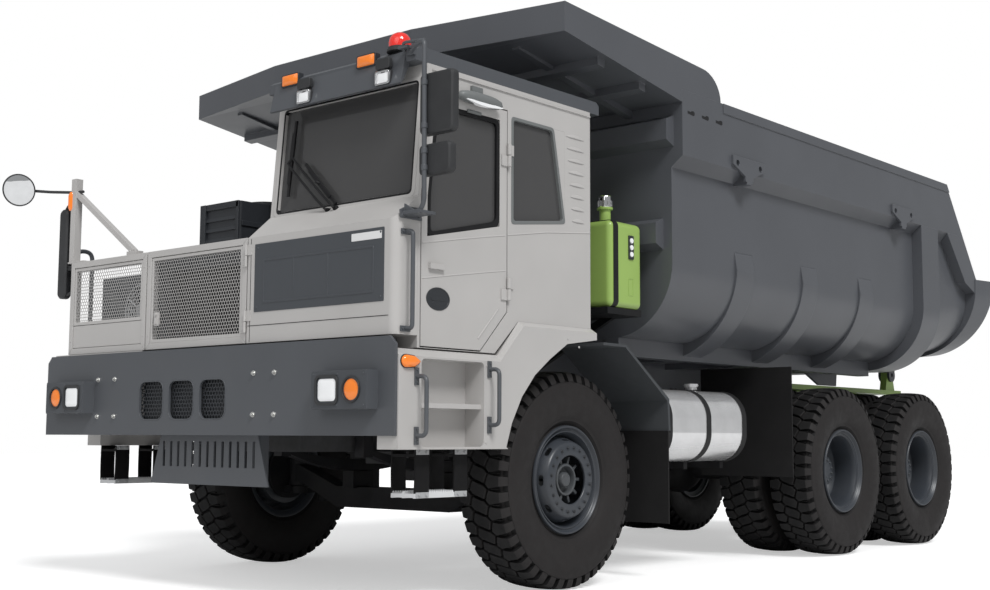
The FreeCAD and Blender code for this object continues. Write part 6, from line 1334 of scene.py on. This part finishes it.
# ---------------------------------------------------------------- fender marker, rivets and body hardware
def make_markers():
    y, cu, cv = FENDER_Y, 4.160, 1.473
    turns = [math.radians(-90 + 180 * k / 16) for k in range(17)]
    outline = [(4.185 + 0.040 * math.cos(a), cv + 0.037 * math.sin(a)) for a in turns]
    outline += [(4.120, 1.505), (4.078, 1.482), (4.070, cv), (4.078, 1.464), (4.120, 1.441)]
    b = Build()
    b.skin([[Vector((cu + (u - cu) * s, y + d, cv + (v - cv) * s)) for u, v in outline] for s, d in
            ((1.0, -0.002), (1.0, 0.010), (0.93, 0.019), (0.75, 0.026), (0.40, 0.030))], True)
    b.done("fender_marker_lens", "orange", "light_grey_paint", angle=60)
    ring(b, grown(outline, 0.004), outline, on_y(y), -0.002, 0.006)
    b.done("fender_marker_gasket", "seal", "dark_plastic")
    for side in (1, -1):
        for x, z in ((2.520, 1.640), (2.640, 1.690), (3.470, 1.000), (3.470, 1.475)):
            b.rod((x, side * (y - 0.001), z), (x, side * (y + 0.004), z), 0.008, 0.007, sides=14)
    b.done("fender_rivets", "grey", "light_grey_paint", bevel=0.0008)


def make_body_slots():
    """Hook-shaped slots along the canopy's sides, drawn as thin dark inlays: painted shade for the open slots."""
    hook = [(0.060, -0.006), (-0.020, -0.012), (-0.036, -0.004), (-0.036, 0.016), (-0.020, 0.024), (0.006, 0.020),
            (0.012, 0.012), (0.060, 0.014)]
    z = 3.458
    b = Build()
    for side in (1, -1):
        y = side * high("canopy")[1]
        for x in (1.278, 1.078, 0.878):
            b.prism([(x + u, z + v) for u, v in hook], "y", y - side * 0.004, y + side * 0.0012)
    b.done("body_side_slots", "seal", "slate_paint", "dump_body")


# ---------------------------------------------------------------- seat and driver's place
LEAN, LEAN_OUT = Vector((-0.1434, 0, 0.9897)), Vector((0.9897, 0, 0.1434))     # the backrest's own axes


def stuffing(u, v, w, seams, crown, bolster):
    """How far a pad's top stands up at (u, v, w): full in the middle and at the bolsters, drawn in at the seams."""
    if w <= 0:
        return 0.0
    lift = crown * math.cos(PI / 2 * min(1, abs(u))) * math.cos(PI / 2 * min(1, abs(v)))
    lift += bolster * max(0.0, min(1.0, (abs(v) - 0.55) / 0.15)) * math.cos(PI / 2 * max(0, abs(v) - 0.6) / 0.4)
    if abs(v) < 0.58:
        lift -= sum(0.011 * math.exp(-((u - line) / 0.035) ** 2) for line in seams)
    return (lift - 0.013 * math.exp(-((abs(v) - 0.58) / 0.03) ** 2)) * min(1.0, w * 1.6)


def cushion(b, centre, axes, half, seams, crown, bolster, steps=22):
    """Stuffed pad: a rounded block, fuller in the middle and at its side bolsters, drawn in along sewn lines."""
    verts, faces, index = [], [], {}
    blunt = 7.0                   # power of the rounded block: higher is squarer

    def add(p):
        key = tuple(round(c, 5) for c in p)
        if key not in index:
            norm = sum(abs(c) ** blunt for c in p) ** (1 / blunt)
            u, v, w = (c / norm for c in p)
            spread = 1 + 0.020 * math.cos(PI / 2 * min(1, abs(w)))
            lift = stuffing(u, v, w, seams, crown, bolster)
            index[key] = len(verts)
            verts.append(Vector(centre) + axes[0] * u * half[0] * spread + axes[1] * v * half[1] * spread
                         + axes[2] * (w * half[2] + lift))
        return index[key]
    grid = [-1 + 2 * i / steps for i in range(steps + 1)]
    for axis in range(3):
        for end in (-1, 1):
            for u0, u1 in zip(grid, grid[1:]):
                for v0, v1 in zip(grid, grid[1:]):
                    quad = ([u0, v0], [u1, v0], [u1, v1], [u0, v1])
                    faces.append([add(p[:axis] + [end] + p[axis:]) for p in quad])
    b.faces(verts, faces, smooth=True)


def make_seat():
    x, y, z = AXLE_X + 0.480, 1.040, 1.610
    b = Build()
    cushion(b, (x + 0.005, y, z + 0.388), (FORWARD, LEFT, UP), (0.255, 0.255, 0.060), (-0.45, 0.0, 0.45), 0.010, 0.014)
    b.done("seat_cushion", "seat", "seat_fabric", angle=80, replaces=["seat"])
    back = (LEAN, LEFT, LEAN_OUT)
    cushion(b, (x - 0.222, y, z + 0.770), back, (0.300, 0.245, 0.046), (-0.5, -0.1, 0.3, 0.7), 0.010, 0.014)
    b.done("seat_backrest", "seat", "seat_fabric", angle=80)
    cushion(b, (x - 0.272, y, z + 1.105), back, (0.068, 0.135, 0.036), (), 0.006, 0.0)
    b.done("seat_headrest", "seat", "seat_fabric", angle=80)
    # pedestal bellows, base, pan, back shell, brackets and armrests
    for k in range(7):
        fold = z + 0.045 + k * 0.036
        for half, z0, z1 in ((0.155, -0.018, 0.002), (0.165, 0.002, 0.018)):
            b.box(x - half, x + half, y - half, y + half, fold + z0, fold + z1)
    b.boxes((x - 0.190, x + 0.190, y - 0.190, y + 0.190, z, z + 0.030),
            (x - 0.230, x + 0.245, y - 0.225, y + 0.225, z + 0.295, z + 0.340))
    b.prism([(x - 0.262, z + 0.400), (x - 0.235, z + 0.400), (x - 0.332, z + 1.130), (x - 0.352, z + 1.130)], "y",
            y - 0.215, y + 0.215)
    arm = [(x - 0.235, z + 0.575), (x + 0.060, z + 0.600), (x + 0.085, z + 0.622), (x + 0.060, z + 0.640),
           (x - 0.225, z + 0.628)]
    for s in (-1, 1):
        b.box(x - 0.250, x - 0.150, y + s * 0.255 - 0.012, y + s * 0.255 + 0.012, z + 0.300, z + 0.450)
        b.rod((x - 0.205, y + s * 0.245, z + 0.600), (x - 0.205, y + s * 0.275, z + 0.600), 0.024)
        b.prism(arm, "y", y + s * 0.275 - 0.024, y + s * 0.275 + 0.024)
    b.done("seat_pedestal_and_arms", "plastic", "dark_plastic", bevel=0.006, segments=3)


def make_driver_place():
    """Grip and horn pad of the steering wheel, instrument hood, dials and switches."""
    centre, axis = Vector((AXLE_X + 1.100, 1.040, 2.342)), Vector((-0.240, 0, 0.300)).normalized()
    up = axis.cross(LEFT).normalized()
    b = Build()
    grip = [centre + LEFT * u + up * v for u, v in circle(48, 0.215)]
    b.tube(grip + grip[:1], 0.0165)
    b.rod(centre - axis * 0.010, centre + axis * 0.030, 0.062, 0.050, sides=32)
    for a in (-0.35, PI + 0.35, -PI / 2):
        d = LEFT * math.cos(a) + up * math.sin(a)
        b.rod(centre + d * 0.040, centre + d * 0.208, 0.016, 0.011, sides=12)
    for s in (-1, 1):
        p = centre - axis * 0.060 + LEFT * 0.030 * s
        b.tube([p, p + LEFT * 0.080 * s, p + LEFT * 0.170 * s + axis * 0.010], 0.008, sides=10)
    b.done("steering_wheel_grip", "plastic", "dash_plastic", bevel=0.0015)
    top, face = 2.392, 3.730
    b.prism([(face + 0.200, top - 0.004), (face + 0.180, top + 0.052), (face - 0.010, top + 0.060),
             (face - 0.020, top + 0.050), (face + 0.010, top - 0.004)], "y", 0.830, 1.250)
    b.done("instrument_hood", "dash", "dash_plastic", bevel=0.008, segments=3)
    for y, r in ((0.900, 0.028), (1.040, 0.024), (1.180, 0.028)):
        b.rod((face + 0.016, y, top + 0.024), (face - 0.014, y, top + 0.026), r, sides=28)
    b.done("instrument_dials", "clear", "dash_plastic", bevel=0.001)
    for k in range(6):
        y = 0.560 + 0.042 * k
        b.box(face + 0.030, face + 0.060, y - 0.015, y + 0.015, top - 0.004, top + 0.010)
    b.done("dash_switches", "plastic", "dash_plastic", bevel=0.002)


# ---------------------------------------------------------------- air cleaner
def make_air_cleaner():
    x0, x1, y0, y1, top = 2.755, 3.085, -1.560, -1.090, 2.900
    b = Build()
    # guard plates round the recessed intake, its blades and two bands
    b.boxes((x1 - 0.002, x1 + 0.022, y0 - 0.006, y0 + 0.060, 1.700, top),
            (x1 - 0.002, x1 + 0.014, y1 - 0.030, y1 + 0.002, 1.700, top),
            (x1 - 0.002, x1 + 0.014, y0 + 0.050, y1, top - 0.050, top),
            (x0 + 0.020, x1 - 0.020, y1 - 0.001, y1 + 0.012, 2.200, 2.240),
            (x0 + 0.020, x1 - 0.020, y1 - 0.001, y1 + 0.012, 2.700, 2.740))
    for k in range(11):
        z = top - 0.110 - k * 0.085
        b.prism([(x1 - 0.002, z), (x1 + 0.012, z - 0.034), (x1 - 0.002, z - 0.040)], "y", y0 + 0.060, y1 - 0.030)
    b.done("air_intake_blades", "dark", "light_grey_paint", bevel=0.002)
    drum, r, lid = Vector((2.560, -1.385, 0)), 0.165, 2.962
    b.lathe([(lid - 0.070, r - 0.002), (lid - 0.070, r + 0.008), (lid - 0.056, r + 0.012), (lid - 0.046, r + 0.004),
             (lid - 0.014, r + 0.003), (lid - 0.004, r - 0.014), (lid + 0.004, r - 0.05), (lid + 0.006, 0.0)], drum,
            "z", sides=48)
    for z in (2.300, 2.620):
        b.lathe([(z - 0.018, r - 0.001), (z - 0.018, r + 0.004), (z + 0.018, r + 0.004), (z + 0.018, r - 0.001)], drum,
                "z", sides=48)
    # four clips
    for k in range(4):
        turn = Matrix.Rotation(PI / 4 + PI / 2 * k, 3, "Z")
        clip = drum + turn @ Vector((r + 0.012, 0, 0)) + UP * (lid - 0.120)
        b.block(clip, (0.014, 0.030, 0.090), turn)
        b.block(clip + UP * 0.052, (0.020, 0.020, 0.020), turn)
    b.done("air_drum_lid", "dark", "light_grey_paint", bevel=0.0012)


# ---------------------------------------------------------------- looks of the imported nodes
SLOT_LOOKS = {
    "frame_grey": "frame", "spring_steel": "spring", "axle_iron": "iron", "engine_iron": "engine",
    "radiator_black": "core", "slate_paint": "slate", "light_grey_paint": "grey", "green_paint": "green",
    "polished_rod": "rod", "polished_tank": "tank", "tyre_rubber": "tyre", "rim_grey": "rim",
    "flap_rubber": "flap", "step_steel": "zinc", "dark_plastic": "plastic", "dash_plastic": "dash",
    "seat_fabric": "seat", "cab_glass": "glass",
}
NODE_LOOKS = {"dump_body": "slate_body", "body_hoops": "slate_body", "canopy": "slate_body",
              "body_tail_frame": "slate_body", "air_cleaner": "dark", "engine_hood": "dark",
              "fuel_tank_cradle": "seal", "fenders": "grey"}


def dress_nodes():
    """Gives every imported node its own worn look, or the one of its slot's paint."""
    for name, obj in frame["nodes"].items():
        for i, packed in enumerate(obj.data.materials):
            obj.data.materials[i] = M[NODE_LOOKS.get(name) or SLOT_LOOKS[packed.name.split(".")[0]]]


# ---------------------------------------------------------------- floor, light and world
SKY_LEVEL, FLOOR_LIFT = 0.32, 0.48
LAMPS = (("key", 68.0, 48.0, 2.1, 18.0), ("fill", 10.0, 35.0, 0.62, 40.0))   # azimuth, elevation, strength, spread
FLOOR_REACH = 60.0


def make_stage():
    """Pale floor; the camera sees it lifted towards white, but it gives the truck no more light."""
    n = Nodes("pale_floor")
    n.finish(Base_Color=n.cloud(0.6, 3.0, 0.5, (0.3, 0.80), (0.7, 0.83)), Roughness=0.85)
    surface = n.bsdf.outputs[0]
    lit = n.new("AddShader", {0: surface, 1: n.new("Emission", {"Strength": FLOOR_LIFT}).outputs[0]}).outputs[0]
    pick = n.new("MixShader", {0: n.new("LightPath").outputs["Is Camera Ray"], 1: surface, 2: lit}).outputs[0]
    n.put(n.tree.nodes["Material Output"].inputs["Surface"], pick)
    mesh = bpy.data.meshes.new("floor")
    mesh.from_pydata([(x * FLOOR_REACH, y * FLOOR_REACH, 0) for x, y in ((-1, -1), (1, -1), (1, 1), (-1, 1))], [],
                     [(0, 1, 2, 3)])
    mesh.materials.append(n.mat)
    floor = link("floor", mesh)


def make_light():
    """Studio sky that the camera sees as white, a soft sun from the front left and a fainter one from ahead."""
    scene = bpy.context.scene
    world = scene.world = bpy.data.worlds.new("studio")
    world.use_nodes = True
    nodes, links = world.node_tree.nodes, world.node_tree.links
    sky, white = nodes["Background"], nodes.new("ShaderNodeBackground")
    pick = nodes.new("ShaderNodeMixShader")
    for node, colour, strength in ((sky, (0.97, 0.985, 1.0, 1), SKY_LEVEL), (white, (1, 1, 1, 1), 1.0)):
        node.inputs["Color"].default_value = colour
        node.inputs["Strength"].default_value = strength
    seen = nodes.new("ShaderNodeLightPath").outputs["Is Camera Ray"]
    for i, source in enumerate((seen, sky.outputs[0], white.outputs[0])):
        links.new(source, pick.inputs[i])
    links.new(pick.outputs[0], nodes["World Output"].inputs["Surface"])
    for name, azimuth, elevation, strength, spread in LAMPS:
        data = bpy.data.lights.new(name, "SUN")
        data.energy, data.angle = strength, math.radians(spread)
        a, e = math.radians(azimuth), math.radians(elevation)
        toward = Vector((math.cos(e) * math.cos(a), math.cos(e) * math.sin(a), math.sin(e)))
        link(name, data).rotation_euler = toward.to_track_quat("Z", "Y").to_euler()
    scene.view_settings.view_transform = "Standard"


make_tyres()
make_rims()
make_panel("outer_deck_panel", "outer_panel", "chassis", 0.170)
make_panel("radiator_door", "radiator_panel", "radiator_door", 0.0)
make_bumper_details()
make_nose_details()
make_glazing()
make_door_details()
make_cab_trim()
make_roof_lamps()
make_wipers()
make_handrails()
make_steps()
make_right_mirror()
make_left_mirrors()
make_tank_details()
make_markers()
make_cooling_pack()
make_seat()
make_driver_place()
make_air_cleaner()
make_body_slots()
dress_nodes()
make_stage()
make_light()
make_camera()
